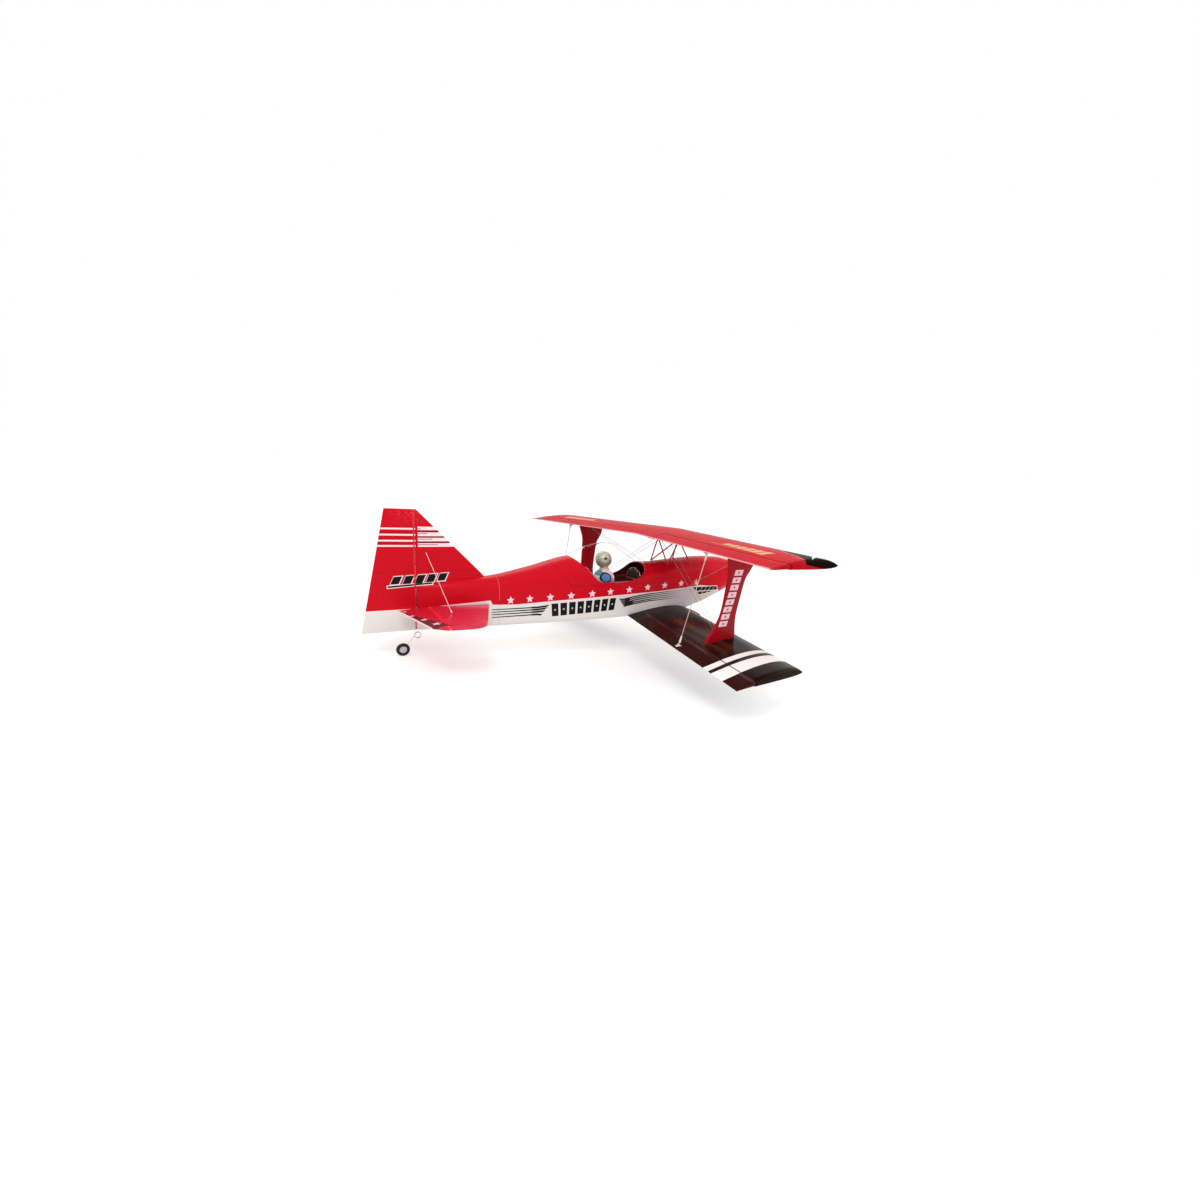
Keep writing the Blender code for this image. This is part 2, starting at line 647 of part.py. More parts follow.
def build_firewall():
    """Plywood firewall with the tapered tube that carries the motor ahead of it."""
    back_ring = section_ring(FUSELAGE_NOSE - 0.006, inset=SKIN + 4 * GAP)
    front_ring = [point + Vector((0.003, 0, 0)) for point in back_ring]
    mount = turned([(-0.0195, 0.0), (-0.0195, 0.024), (-0.0145, 0.024), (-0.0145, 0.013),
                    (0.0960, 0.010), (0.0960, 0.0165), (0.0985, 0.0165), (0.0985, 0.0)],
                   Vector((0, 0, THRUST_Z)), "X", 20)
    solid_union("firewall_mount", [loft([back_ring, front_ring]), mount], "wood")


def canopy_top(x):
    """Height of the canopy's crown at a station."""
    for (x0, z0), (x1, z1) in zip(CANOPY_TOPS, CANOPY_TOPS[1:]):
        if x <= x1:
            return blend(z0, z1, (x - x0) / (x1 - x0))
    return CANOPY_TOPS[-1][1]


def build_cockpit():
    """Cockpit tub with its instrument panel, and the pilot figure's bust."""
    outer = box((-0.356, -0.043, 0.0600), (-0.150, 0.043, 0.0800))
    hollow = box((-0.354, -0.041, 0.0618), (-0.152, 0.041, 0.0900))
    tub = add_part("cockpit_tub", outer, "cockpit_brown")
    combine(tub, add_cutter("tub_hollow", hollow), "DIFFERENCE")
    panel_ring = [(-0.036, 0.0605), (0.036, 0.0605), (0.036, 0.085), (0.026, 0.102), (0.0, 0.110),
                  (-0.026, 0.102), (-0.036, 0.085)]
    panel = prism(panel_ring, -0.1760, -0.1740, axis="X")
    combine(tub, add_cutter("instrument_panel", panel), "UNION")

    head_centre = Vector((-0.269, 0.0, 0.1320))
    bm = bmesh.new()
    bmesh.ops.create_uvsphere(bm, u_segments=20, v_segments=12, radius=0.0212)
    bm.transform(Matrix.Translation(head_centre))
    head = to_mesh(bm)
    bust_levels = [(0.0624, 0.022, 0.026), (0.075, 0.024, 0.030), (0.090, 0.023, 0.031),
                   (0.100, 0.018, 0.026), (0.107, 0.011, 0.013), (0.116, 0.009, 0.010)]
    rings = []
    for z, length, width in bust_levels:
        rings.append([Vector((-0.266 + length * math.cos(a), width * math.sin(a), z))
                      for a in [2 * math.pi * k / 16 for k in range(16)]])
    solid_union("pilot", [loft(rings), head], "pilot_grey")


# ---------------------------------------------------------------------------------------------
# Tail
# ---------------------------------------------------------------------------------------------
def build_tail():
    """Tail moulding with the fin, the rudder, and the stabiliser with two elevator halves."""
    cone = loft([section_ring(x) for x in stations_between(RUDDER_HINGE_X + 0.0046,
                                                          FUSELAGE_TAIL - GAP, 0.04)])
    back = RUDDER_HINGE_X + RUDDER_NOSE + GAP
    levels = [(0.050, -0.548), (0.1016, -0.5675), (FIN_TOP, -0.7042)]
    fin = loft([fin_ring(front, back, z) for z, front in levels])
    moulding = solid_union("tail_moulding", [cone, fin], "red_film")
    slot = loft([[Vector((x, y, z)) for x, y in stabiliser_outline(GAP)]
                 for z in (STAB_Z - STAB_THICKNESS / 2 - GAP, STAB_Z + STAB_THICKNESS / 2 + GAP)])
    combine(moulding, add_cutter("stabiliser_slot", slot), "DIFFERENCE")
    axis_hole = cylinder((ELEVATOR_HINGE_X, -0.04, STAB_Z), (ELEVATOR_HINGE_X, 0.04, STAB_Z), 0.0018, 12)
    combine(moulding, add_cutter("joiner_passage", axis_hole), "DIFFERENCE")
    brace_hole = cylinder(BRACE_TOP - Vector((0, 0.01, 0)), BRACE_TOP + Vector((0, 0.01, 0)), 0.0010, 8)
    combine(moulding, add_cutter("brace_passage", brace_hole), "DIFFERENCE")

    stabiliser = add_part("stabiliser", prism(stabiliser_outline(), STAB_Z - STAB_THICKNESS / 2,
                                              STAB_Z + STAB_THICKNESS / 2, axis="Z"), "red_film")
    bevel = stabiliser.modifiers.new("round_edges", "BEVEL")
    bevel.width = 0.0024
    bevel.segments = 2
    bevel.limit_method = "ANGLE"
    bevel.angle_limit = math.radians(50)

    rings = []
    for z, tail_x in ((RUDDER_BOTTOM, -0.8110), (FIN_TOP, -0.7628)):
        rings.append(control_ring(Vector((RUDDER_HINGE_X, 0, z)), Vector((tail_x, 0, z)),
                                  Vector((0, 1, 0)), RUDDER_NOSE, 0.0008))
    horn_z = RUDDER_HORN_Z
    horn = prism([(RUDDER_HINGE_X - 0.014, 0.001), (RUDDER_HINGE_X - 0.0005, 0.001),
                  (RUDDER_HINGE_X - 0.0005, 0.0090), (RUDDER_HINGE_X + 0.0022, 0.0115),
                  (RUDDER_HINGE_X + 0.0022, HORN_LENGTH + 0.0022),
                  (RUDDER_HINGE_X - 0.0022, HORN_LENGTH + 0.0022)], horn_z - 0.0008, horn_z + 0.0008,
                 axis="Z")
    rudder = solid_union("rudder", [loft(rings), horn], "red_film", (RUDDER_HINGE_X, 0, 0))
    wire_socket = cylinder((RUDDER_HINGE_X, 0, -0.03), (RUDDER_HINGE_X, 0, 0.0165), TAIL_WIRE + 0.0003, 12)
    combine(rudder, add_cutter("tail_wire_socket", wire_socket), "DIFFERENCE")

    for side, label in ((1, "left"), (-1, "right")):
        up = Vector((0, 0, 1))
        root, tip = ELEVATOR_ROOT, ELEVATOR_TIP
        inner = control_ring(Vector((ELEVATOR_HINGE_X, side * 0.0165, STAB_Z)),
                             Vector((root.x, side * root.y, STAB_Z)), up, ELEVATOR_NOSE, 0.0007)
        outer = control_ring(Vector((ELEVATOR_HINGE_X, side * 0.1920, STAB_Z)),
                             Vector((tip.x, side * tip.y, STAB_Z)), up, ELEVATOR_NOSE, 0.0007)
        pieces = [loft([inner, outer])]
        if side > 0:
            y = ELEVATOR_HORN_Y
            outline = [(ELEVATOR_HINGE_X + 0.0030, STAB_Z - 0.002),
                       (ELEVATOR_HINGE_X - 0.014, STAB_Z - 0.002),
                       (ELEVATOR_HINGE_X - 0.0022, STAB_Z - HORN_LENGTH - 0.0022),
                       (ELEVATOR_HINGE_X + 0.0022, STAB_Z - HORN_LENGTH - 0.0022)]
            pieces.append(prism(outline, y - 0.0008, y + 0.0008))
        half = solid_union(f"elevator_{label}", pieces, "red_film", (ELEVATOR_HINGE_X, 0, STAB_Z))
        socket = cylinder((ELEVATOR_HINGE_X, side * 0.010, STAB_Z),
                          (ELEVATOR_HINGE_X, side * 0.0405, STAB_Z), 0.0016, 12)
        combine(half, add_cutter(f"elevator_socket_{label}", socket), "DIFFERENCE")
    add_part("elevator_joiner", cylinder((ELEVATOR_HINGE_X, -0.040, STAB_Z),
                                         (ELEVATOR_HINGE_X, 0.040, STAB_Z), 0.0012, 12),
             "steel", (ELEVATOR_HINGE_X, 0, STAB_Z))


def fin_ring(front, back, z):
    """Fin section at one height: elliptical leading edge and parallel sides to the hinge line."""
    half = 0.0042 if z < 0.2 else 0.0036
    nose = min(0.018, (front - back) * 0.8)
    ring = [Vector((back, half, z))]
    for degrees in (90, 65, 40, 20, 0, -20, -40, -65, -90):
        angle = math.radians(degrees)
        ring.append(Vector((front - nose + nose * math.cos(angle), half * math.sin(angle), z)))
    return ring + [Vector((back, -half, z))]


def stabiliser_outline(grow=0.0):
    """Plan view of the stabiliser, both halves, with rounded front corners at the tips."""
    rear = ELEVATOR_HINGE_X + ELEVATOR_NOSE + GAP
    half = [(-0.5620 + grow, 0.0), (-0.5680 + grow, 0.036 + grow), (-0.6110 + grow, 0.168),
            (-0.6190 + grow, 0.182), (-0.6320, 0.1915 + grow), (-0.6480, 0.1945 + grow),
            (rear - grow, 0.1935 + grow)]
    return half + [(x, -y) for x, y in reversed(half[1:])]


# ---------------------------------------------------------------------------------------------
# Struts and rigging
# ---------------------------------------------------------------------------------------------
def wing_clearance(name, wing):
    """Cutter with a wing's outline grown by the gap, to fit struts against its surface."""
    reach = wing["half_span"] - TIP_ROUNDING
    rings = [wing_ring(wing, y, grow=GAP) for y in (-reach, -0.30, 0.0, 0.30, reach)]
    return add_cutter(name, loft(rings))


def build_struts():
    """Interplane struts, cabane struts, their centre block, and the rigging wires."""
    upper_skin = wing_clearance("upper_wing_skin", UPPER_WING)
    lower_skin = wing_clearance("lower_wing_skin", LOWER_WING)
    outline = smooth_outline(STRUT_REAR, 2) + smooth_outline(STRUT_FRONT, 2)
    for side, label in ((1, "left"), (-1, "right")):
        middle = side * STRUT_Y
        plate = prism(outline, middle - STRUT_THICKNESS / 2, middle + STRUT_THICKNESS / 2)
        for vertex in plate.vertices:
            below_top = STRUT_TOP - vertex.co.z
            vertex.co.x += STRUT_RAKE * below_top
            vertex.co.y -= side * STRUT_LEAN * below_top
        strut = add_part(f"interplane_strut_{label}", plate, "red_film")
        above = prism([(-0.26, 0.1895), (0.02, 0.1895), (0.02, 0.25), (-0.26, 0.25)],
                      middle - 0.04, middle + 0.04)
        below = prism([(-0.26, -0.0135), (0.02, -0.0135), (0.02, -0.06), (-0.26, -0.06)],
                      middle - 0.04, middle + 0.04)
        for number, trim in enumerate((above, below)):
            combine(strut, add_cutter(f"strut_trim_{label}_{number}", trim), "DIFFERENCE")
        combine(strut, upper_skin, "DIFFERENCE")
        combine(strut, lower_skin, "DIFFERENCE")

        corners = [CABANE_FRONT_FOOT, CABANE_FRONT_TOP, CABANE_REAR_FOOT, CABANE_REAR_TOP]
        path = [Vector((p.x, side * p.y, p.z)) for p in corners]
        add_part(f"cabane_strut_{label}", wire_mesh(rounded_path(path, 0.004), CABANE_ROD, 2),
                 "red_film")
    block = add_part("cabane_block",
                     prism([(-0.135, 0.1860), (-0.128, 0.1835), (-0.034, 0.1835), (-0.028, 0.1860),
                            (-0.028, 0.199), (-0.135, 0.199)], -0.0105, 0.0105), "white_paint")
    combine(block, upper_skin, "DIFFERENCE")
    build_rigging()


def rounded_path(points, radius):
    """Corners replaced by two points each, a little before and after the corner."""
    path = [points[0]]
    for before, corner, after in zip(points, points[1:], points[2:]):
        path.append(corner + (before - corner).normalized() * radius)
        path.append(corner + ((before - corner).normalized() + (after - corner).normalized())
                    * radius * 0.25)
        path.append(corner + (after - corner).normalized() * radius)
    return path + [points[-1]]


def build_rigging():
    """Landing wires from the centre block to the strut feet, flying wires from the fuselage sides to
    the strut tops, and the tail brace wire through the fin."""
    for side, label in ((1, "left"), (-1, "right")):
        def at(x, y, z):
            return Vector((x, side * y, z))
        foot = at(-0.1530, STRUT_Y - 0.0066 - STRUT_LEAN * 0.187, 0.0030)
        fitting = box(foot - Vector((0.0060, 0.0015, 0.0015)), foot + Vector((0.0060, 0.0015, 0.0015)))
        wires = [wire_mesh([at(-0.1060, 0.0115, 0.1865), foot + Vector((-0.003, 0, 0))], WIRE_RADIUS),
                 wire_mesh([at(-0.0820, 0.0115, 0.1865), foot + Vector((0.003, 0, 0))], WIRE_RADIUS)]
        solid_union(f"landing_wires_{label}", [fitting] + wires, "steel")
        top = at(-0.1230, STRUT_Y - 0.0066 - STRUT_LEAN * 0.012, 0.1780)
        fitting = box(top - Vector((0.0060, 0.0015, 0.0015)), top + Vector((0.0060, 0.0015, 0.0015)))
        wires = [wire_mesh([at(-0.0480, 0.0585, 0.0600), top + Vector((-0.003, 0, 0))], WIRE_RADIUS),
                 wire_mesh([at(-0.0270, 0.0585, 0.0710), top + Vector((0.003, 0, 0))], WIRE_RADIUS)]
        solid_union(f"flying_wires_{label}", [fitting] + wires, "steel")
    foot = BRACE_FOOT
    add_part("tail_brace_wire",
             wire_mesh([foot, BRACE_TOP + Vector((0, 0.006, 0)), BRACE_TOP - Vector((0, 0.006, 0)),
                        mirrored(foot)], WIRE_RADIUS, 2), "steel")


# ---------------------------------------------------------------------------------------------
# Motor and propeller
# ---------------------------------------------------------------------------------------------
def build_power():
    """Outrunner motor, propeller, spinner, battery and speed controller."""
    centre = Vector((0, 0, THRUST_Z))
    add_part("motor_stator", turned([(0.0990, 0.0030), (0.0990, 0.0180), (0.1030, 0.0180),
                                     (0.1030, 0.0145), (0.1290, 0.0145), (0.1290, 0.0030)],
                                    centre, "X", 24), "steel")
    add_part("motor_bell", turned([(0.1000, 0.0), (0.1000, 0.0020), (0.1310, 0.0020), (0.1310, 0.0160),
                                   (0.1035, 0.0160), (0.1035, 0.0190), (0.1340, 0.0190),
                                   (0.1370, 0.0150), (0.1370, 0.0045), (0.1400, 0.0045),
                                   (0.1400, 0.0020), (0.1830, 0.0020), (0.1830, 0.0)],
                                  centre, "X", 24), "aluminium", (PROP_X, 0, THRUST_Z))
    add_part("spinner_backplate",
             turned([(SPINNER_BACK, 0.0024), (SPINNER_BACK, SPINNER_RADIUS),
                     (SPINNER_BACK + 0.0022, SPINNER_RADIUS), (SPINNER_BACK + 0.0022, 0.0024)],
                    centre, "X", 28), "dark_plastic", (PROP_X, 0, THRUST_Z))
    build_propeller(centre)
    build_spinner(centre)
    add_part("battery", box((-0.128, -0.022, 0.0090), (-0.032, 0.022, 0.0330)), "blue_sleeve")
    add_part("speed_controller", box((0.012, -0.014, 0.0300), (0.058, 0.014, 0.0420)), "dark_plastic")


def blade_ring(radius, chord, pitch_angle):
    """Blade section at one radius, twisted about the blade's own axis, for a blade along +Y."""
    ring = []
    for u, v in ((-0.5, 0.0), (-0.25, 0.055), (0.05, 0.085), (0.35, 0.055), (0.5, 0.0), (0.3, -0.03),
                 (0.0, -0.04), (-0.3, -0.03)):
        a, b = u * chord, v * chord + math.copysign(0.0003, v)
        x = a * math.sin(pitch_angle) + b * math.cos(pitch_angle)
        z = a * math.cos(pitch_angle) - b * math.sin(pitch_angle)
        ring.append(Vector((x, radius, z)))
    return ring


def build_propeller(centre):
    """Two-blade propeller at its rest angle."""
    hub = turned([(-0.0050, 0.0024), (-0.0050, 0.0085), (0.0055, 0.0085), (0.0055, 0.0024)],
                 Vector((PROP_X, 0, 0)), "X", 20)
    blade_rows = [(0.0050, 0.0110, 62), (0.018, 0.0150, 45), (0.040, 0.0225, 30), (0.070, 0.0240, 19),
                  (0.100, 0.0205, 14), (0.125, 0.0145, 11), (PROP_RADIUS, 0.0060, 9)]
    blades = []
    for turn_angle in (0.0, math.pi):
        blade = loft([blade_ring(r, chord, math.radians(pitch)) for r, chord, pitch in blade_rows])
        blade.transform(Matrix.Translation((PROP_X, 0, 0)) @ Matrix.Rotation(turn_angle, 4, "X"))
        blades.append(blade)
    pieces = [hub] + blades
    spin = Matrix.Translation(centre) @ Matrix.Rotation(-PROP_REST_ANGLE, 4, "X")
    for piece in pieces:
        piece.transform(spin)
    prop = solid_union("propeller", pieces, "dark_plastic", (PROP_X, 0, THRUST_Z))
    bore = cylinder((PROP_X - 0.02, 0, THRUST_Z), (PROP_X + 0.02, 0, THRUST_Z), 0.0024, 16)
    combine(prop, add_cutter("propeller_bore", bore), "DIFFERENCE")


def build_spinner(centre):
    """Pointed spinner shell with slots for the blades."""
    back = SPINNER_BACK + 0.0022 + GAP
    length = SPINNER_TIP - back
    outer = []
    inner = []
    for k in range(9):
        t = k / 8
        radius = SPINNER_RADIUS * math.cos(t * math.pi / 2) ** 0.72
        outer.append((back + length * math.sin(t * math.pi / 2) ** 1.15, radius))
    for k in range(7):
        t = k / 6
        radius = (SPINNER_RADIUS - 0.0012) * math.cos(t * math.pi / 2) ** 0.72
        inner.append((back + (length - 0.004) * math.sin(t * math.pi / 2) ** 1.15, radius))
    outer[-1] = (SPINNER_TIP, 0.0)
    inner[-1] = (SPINNER_TIP - 0.004, 0.0)
    spinner = add_part("spinner", turned(outer + inner[::-1], centre, "X", 28), "white_paint",
                       (PROP_X, 0, THRUST_Z))
    slots = box((back - 0.002, -0.03, -0.0085), (PROP_X + 0.0090, 0.03, 0.0085))
    slots.transform(Matrix.Translation(centre) @ Matrix.Rotation(-PROP_REST_ANGLE, 4, "X"))
    combine(spinner, add_cutter("blade_slots", slots), "DIFFERENCE")


# ---------------------------------------------------------------------------------------------
# Landing gear
# ---------------------------------------------------------------------------------------------
def build_landing_gear():
    """Bent main gear strip with its axles, two main wheels, and the sprung tail wheel."""
    # Cross lines of the strip from the port axle to the starboard one: y, z, rear edge x, front edge x
    lines = [(0.1085, -0.1130, 0.0270, 0.0430), (0.1085, -0.0950, 0.0230, 0.0430),
             (0.1000, -0.0800, 0.0160, 0.0380), (0.0520, -0.0180, -0.0200, 0.0120),
             (0.0400, -0.0068, -0.0420, -0.0100)]
    full = [(y, z, a, b) for y, z, a, b in lines] + [(-y, z, a, b) for y, z, a, b in reversed(lines)]
    bm = bmesh.new()
    rows = [(bm.verts.new((a, y, z)), bm.verts.new((b, y, z))) for y, z, a, b in full]
    for (a, b), (c, d) in zip(rows, rows[1:]):
        bm.faces.new((a, b, d, c))
    gear = add_part("landing_gear", to_mesh(bm), "red_film")
    solidify = gear.modifiers.new("thickness", "SOLIDIFY")
    solidify.thickness = 0.0024
    solidify.offset = 0.0
    solidify.use_even_offset = True
    for side, label in ((1, "left"), (-1, "right")):
        axle = cylinder((AXLE.x, side * 0.1060, AXLE.z), (AXLE.x, side * (AXLE.y + 0.0125), AXLE.z),
                        0.0020, 12)
        combine(gear, add_cutter(f"axle_{label}", axle), "UNION")
        build_wheel(f"main_{label}", Vector((AXLE.x, side * AXLE.y, AXLE.z)), MAIN_WHEEL_RADIUS,
                    MAIN_WHEEL_WIDTH, 0.0155, 0.0024, 32)
    build_wheel("tail", TAIL_WHEEL, TAIL_WHEEL_RADIUS, TAIL_WHEEL_WIDTH, 0.0070, 0.0012, 24)
    build_tail_wire()


def build_wheel(label, centre, radius, width, hub_radius, bore, sides):
    """Rubber tyre on a plastic hub that turns on its axle."""
    half = width / 2
    rim = hub_radius + GAP
    tyre = [(-half * 0.62, rim), (-half * 0.95, rim + (radius - rim) * 0.30),
            (-half, rim + (radius - rim) * 0.60), (-half * 0.72, radius - (radius - rim) * 0.10),
            (-half * 0.30, radius), (half * 0.30, radius), (half * 0.72, radius - (radius - rim) * 0.10),
            (half, rim + (radius - rim) * 0.60), (half * 0.95, rim + (radius - rim) * 0.30),
            (half * 0.62, rim)]
    add_part(f"{label}_tyre", turned(tyre, centre, "Y", sides), "rubber", centre)
    hub = [(-half * 0.80, bore), (-half * 0.80, bore + hub_radius * 0.22),
           (-half * 0.25, bore + hub_radius * 0.32), (-half * 0.25, hub_radius * 0.82),
           (-half * 0.62, hub_radius * 0.86), (-half * 0.62, hub_radius),
           (half * 0.62, hub_radius), (half * 0.62, hub_radius * 0.86),
           (half * 0.25, hub_radius * 0.82), (half * 0.25, bore + hub_radius * 0.32),
           (half * 0.80, bore + hub_radius * 0.22), (half * 0.80, bore)]
    add_part(f"{label}_hub", turned(hub, centre, "Y", sides), "nylon", centre)


def build_tail_wire():
    """Sprung steering wire: down from the rudder, one and three-quarter coils, back to the wheel."""
    coil_radius = 0.0062
    coil = Vector((RUDDER_HINGE_X + coil_radius, 0.0, -0.0215))
    turns, per_turn, rise = 1.80, 14, 0.0026
    points = [Vector((RUDDER_HINGE_X, 0.0, 0.0155)), Vector((RUDDER_HINGE_X, 0.0, -0.0140))]
    count = round(turns * per_turn)
    for k in range(count + 1):
        angle = math.pi + 2 * math.pi * turns * k / count
        points.append(coil + Vector((coil_radius * math.cos(angle), rise * turns * k / count,
                                     coil_radius * math.sin(angle))))
    side = TAIL_WHEEL_WIDTH / 2 + 0.0030
    points.append(Vector((TAIL_WHEEL.x + 0.0130, side, TAIL_WHEEL.z + 0.0110)))
    points.append(Vector((TAIL_WHEEL.x + 0.0008, side, TAIL_WHEEL.z + 0.0006)))
    points.append(Vector((TAIL_WHEEL.x, side - 0.0014, TAIL_WHEEL.z)))
    points.append(Vector((TAIL_WHEEL.x, -side - 0.0010, TAIL_WHEEL.z)))
    add_part("tail_gear_wire", wire_mesh(points, TAIL_WIRE, 2), "steel", (RUDDER_HINGE_X, 0, 0))


# ---------------------------------------------------------------------------------------------
# Servos and linkages
# ---------------------------------------------------------------------------------------------
def tail_servo_box(label):
    """Corners of a tail servo's case, which looks out through the port side of the fuselage."""
    z = tail_servo_shaft(label).z
    low = Vector((TAIL_SERVO_X - 0.0060, 0.0230, z - 0.0060))
    return low, low + Vector((0.0230, 0.0220, 0.0120))


def tail_servo_shaft(label):
    """Output shaft of the rudder or elevator servo."""
    height = {"rudder": 0.0610, "elevator": 0.0370}[label]
    return Vector((TAIL_SERVO_X, 0.0470, height))


def arm_mesh(shaft, tip, thickness=0.0014):
    """Servo arm: a tapered plate from the output shaft to the rod's hole, with a hub."""
    along = (tip - shaft).normalized()
    across = along.cross(Vector((0, 1, 0)))
    outline = []
    for base, reach, width in ((shaft, -0.0021, 0.0023), (tip, 0.0022, 0.0018)):
        outline.append((base + along * reach, width))
    (a, wa), (b, wb) = outline
    ring = [a + across * wa, b + across * wb, b - across * wb, a - across * wa]
    half = Vector((0, thickness / 2, 0))
    return loft([[p - half for p in ring], [p + half for p in ring]])


def build_servos():
    """Four servos with arms, their pushrods, and the two rods between upper and lower ailerons."""
    for label, sign in (("rudder", 1), ("elevator", -1)):
        low, high = tail_servo_box(label)
        add_part(f"{label}_servo", box(low, high), "dark_plastic")
        shaft = tail_servo_shaft(label)
        tip = shaft + Vector((0, 0, sign * HORN_LENGTH))
        add_part(f"{label}_servo_arm", arm_mesh(shaft, tip), "nylon", shaft)
        start = tip + Vector((0.0022, 0.0024, 0))
        if label == "rudder":
            end = Vector((RUDDER_HINGE_X - 0.001, HORN_LENGTH, RUDDER_HORN_Z + 0.0020))
        else:
            end = Vector((ELEVATOR_HINGE_X - 0.001, ELEVATOR_HORN_Y + 0.0020, STAB_Z - HORN_LENGTH))
        add_part(f"{label}_pushrod", cylinder(start, end, LINK_ROD, 8), "steel", tip)

    for side, label in ((1, "left"), (-1, "right")):
        shaft = servo_shaft(side)
        case = box(shaft + Vector((-0.0121, -side * 0.0010 - 0.0081, -0.0040)),
                   shaft + Vector((0.0211, -side * 0.0010 + 0.0081, 0.0058)))
        add_part(f"aileron_servo_{label}", case, "dark_plastic")
        pivot = shaft + Vector((0, 0, -0.0075))
        hinge = hinge_point(LOWER_WING, side * AILERON_SERVO_Y)
        tip = pivot + Vector((0, 0, -HORN_LENGTH))
        add_part(f"aileron_servo_arm_{label}", arm_mesh(pivot, tip), "nylon", pivot)
        beside = Vector((0, side * 0.0020, 0))
        add_part(f"aileron_pushrod_{label}",
                 cylinder(tip + beside + Vector((0.0015, 0, 0)),
                          hinge + Vector((-0.0015, 0, -HORN_LENGTH)) + beside, LINK_ROD, 8),
                 "steel", tip)
        low_end = hinge_point(LOWER_WING, side * LOWER_LINK_Y) + LINK_OFFSET + Vector((0, 0, LINK_PIVOT))
        high_end = hinge_point(UPPER_WING, side * UPPER_LINK_Y) + LINK_OFFSET - Vector((0, 0, LINK_PIVOT))
        offset = Vector((0, side * 0.0034, 0))
        add_part(f"aileron_link_rod_{label}", cylinder(low_end + offset, high_end + offset, LINK_ROD, 8),
                 "steel", low_end)


build_wings()
build_fuselage()
build_tail()
build_struts()
build_power()
build_landing_gear()
build_servos()
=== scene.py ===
"""Looks of a radio-controlled sport biplane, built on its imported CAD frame.

Coordinates written here are in the aircraft's datum frame in metres: +X to the nose, +Y to port, +Z up,
origin on the centre line at the trailing edge of the lower wing's root.  piece() moves every shape into
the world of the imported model, where the aircraft stands on its wheels, nose up.
"""
import json
import math
from functools import reduce

import bmesh
import bpy
from mathutils import Matrix, Vector

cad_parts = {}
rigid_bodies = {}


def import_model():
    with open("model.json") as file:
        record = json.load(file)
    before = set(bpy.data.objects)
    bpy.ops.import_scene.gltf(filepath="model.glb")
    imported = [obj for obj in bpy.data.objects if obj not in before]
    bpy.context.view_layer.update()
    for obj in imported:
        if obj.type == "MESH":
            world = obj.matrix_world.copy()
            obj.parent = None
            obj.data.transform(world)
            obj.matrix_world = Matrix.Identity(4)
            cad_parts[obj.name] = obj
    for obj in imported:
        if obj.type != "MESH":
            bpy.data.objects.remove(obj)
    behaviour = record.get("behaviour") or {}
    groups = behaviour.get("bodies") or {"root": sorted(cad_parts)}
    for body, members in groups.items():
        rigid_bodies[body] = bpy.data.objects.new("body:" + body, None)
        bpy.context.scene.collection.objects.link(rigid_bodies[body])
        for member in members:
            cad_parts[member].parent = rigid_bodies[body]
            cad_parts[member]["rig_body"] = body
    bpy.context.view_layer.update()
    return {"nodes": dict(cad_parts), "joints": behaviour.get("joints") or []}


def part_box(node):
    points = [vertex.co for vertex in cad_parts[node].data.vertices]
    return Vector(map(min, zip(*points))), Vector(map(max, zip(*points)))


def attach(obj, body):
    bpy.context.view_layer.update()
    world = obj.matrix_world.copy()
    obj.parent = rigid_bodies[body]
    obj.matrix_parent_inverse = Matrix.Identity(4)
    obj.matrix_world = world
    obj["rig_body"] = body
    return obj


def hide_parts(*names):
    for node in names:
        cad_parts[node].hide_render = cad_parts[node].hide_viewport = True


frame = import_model()

JOINTS = {joint["name"]: joint for joint in frame["joints"]}
NODES = frame["nodes"]

# ---------------------------------------------------------------------------------------------
# Datum frame: read from the rudder's hinge, whose axis is the datum's +Z
# ---------------------------------------------------------------------------------------------
RUDDER_HINGE_X = -0.7125
_up = Vector(JOINTS["rudder_hinge"]["axis"])
_nose = Vector((0.0, 1.0, 0.0)).cross(_up).normalized()
_turn = Matrix((_nose, Vector((0.0, 1.0, 0.0)), _up)).transposed()
_home = Vector(JOINTS["rudder_hinge"]["pos_m"]) - _turn @ Vector((RUDDER_HINGE_X, 0.0, 0.0))
DATUM = Matrix.Translation(_home) @ _turn.to_4x4()
TO_DATUM = DATUM.inverted()


def middle_of(node):
    """Centre of a CAD node's box, in the datum frame."""
    low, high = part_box(node)
    return TO_DATUM @ ((Vector(low) + Vector(high)) / 2)


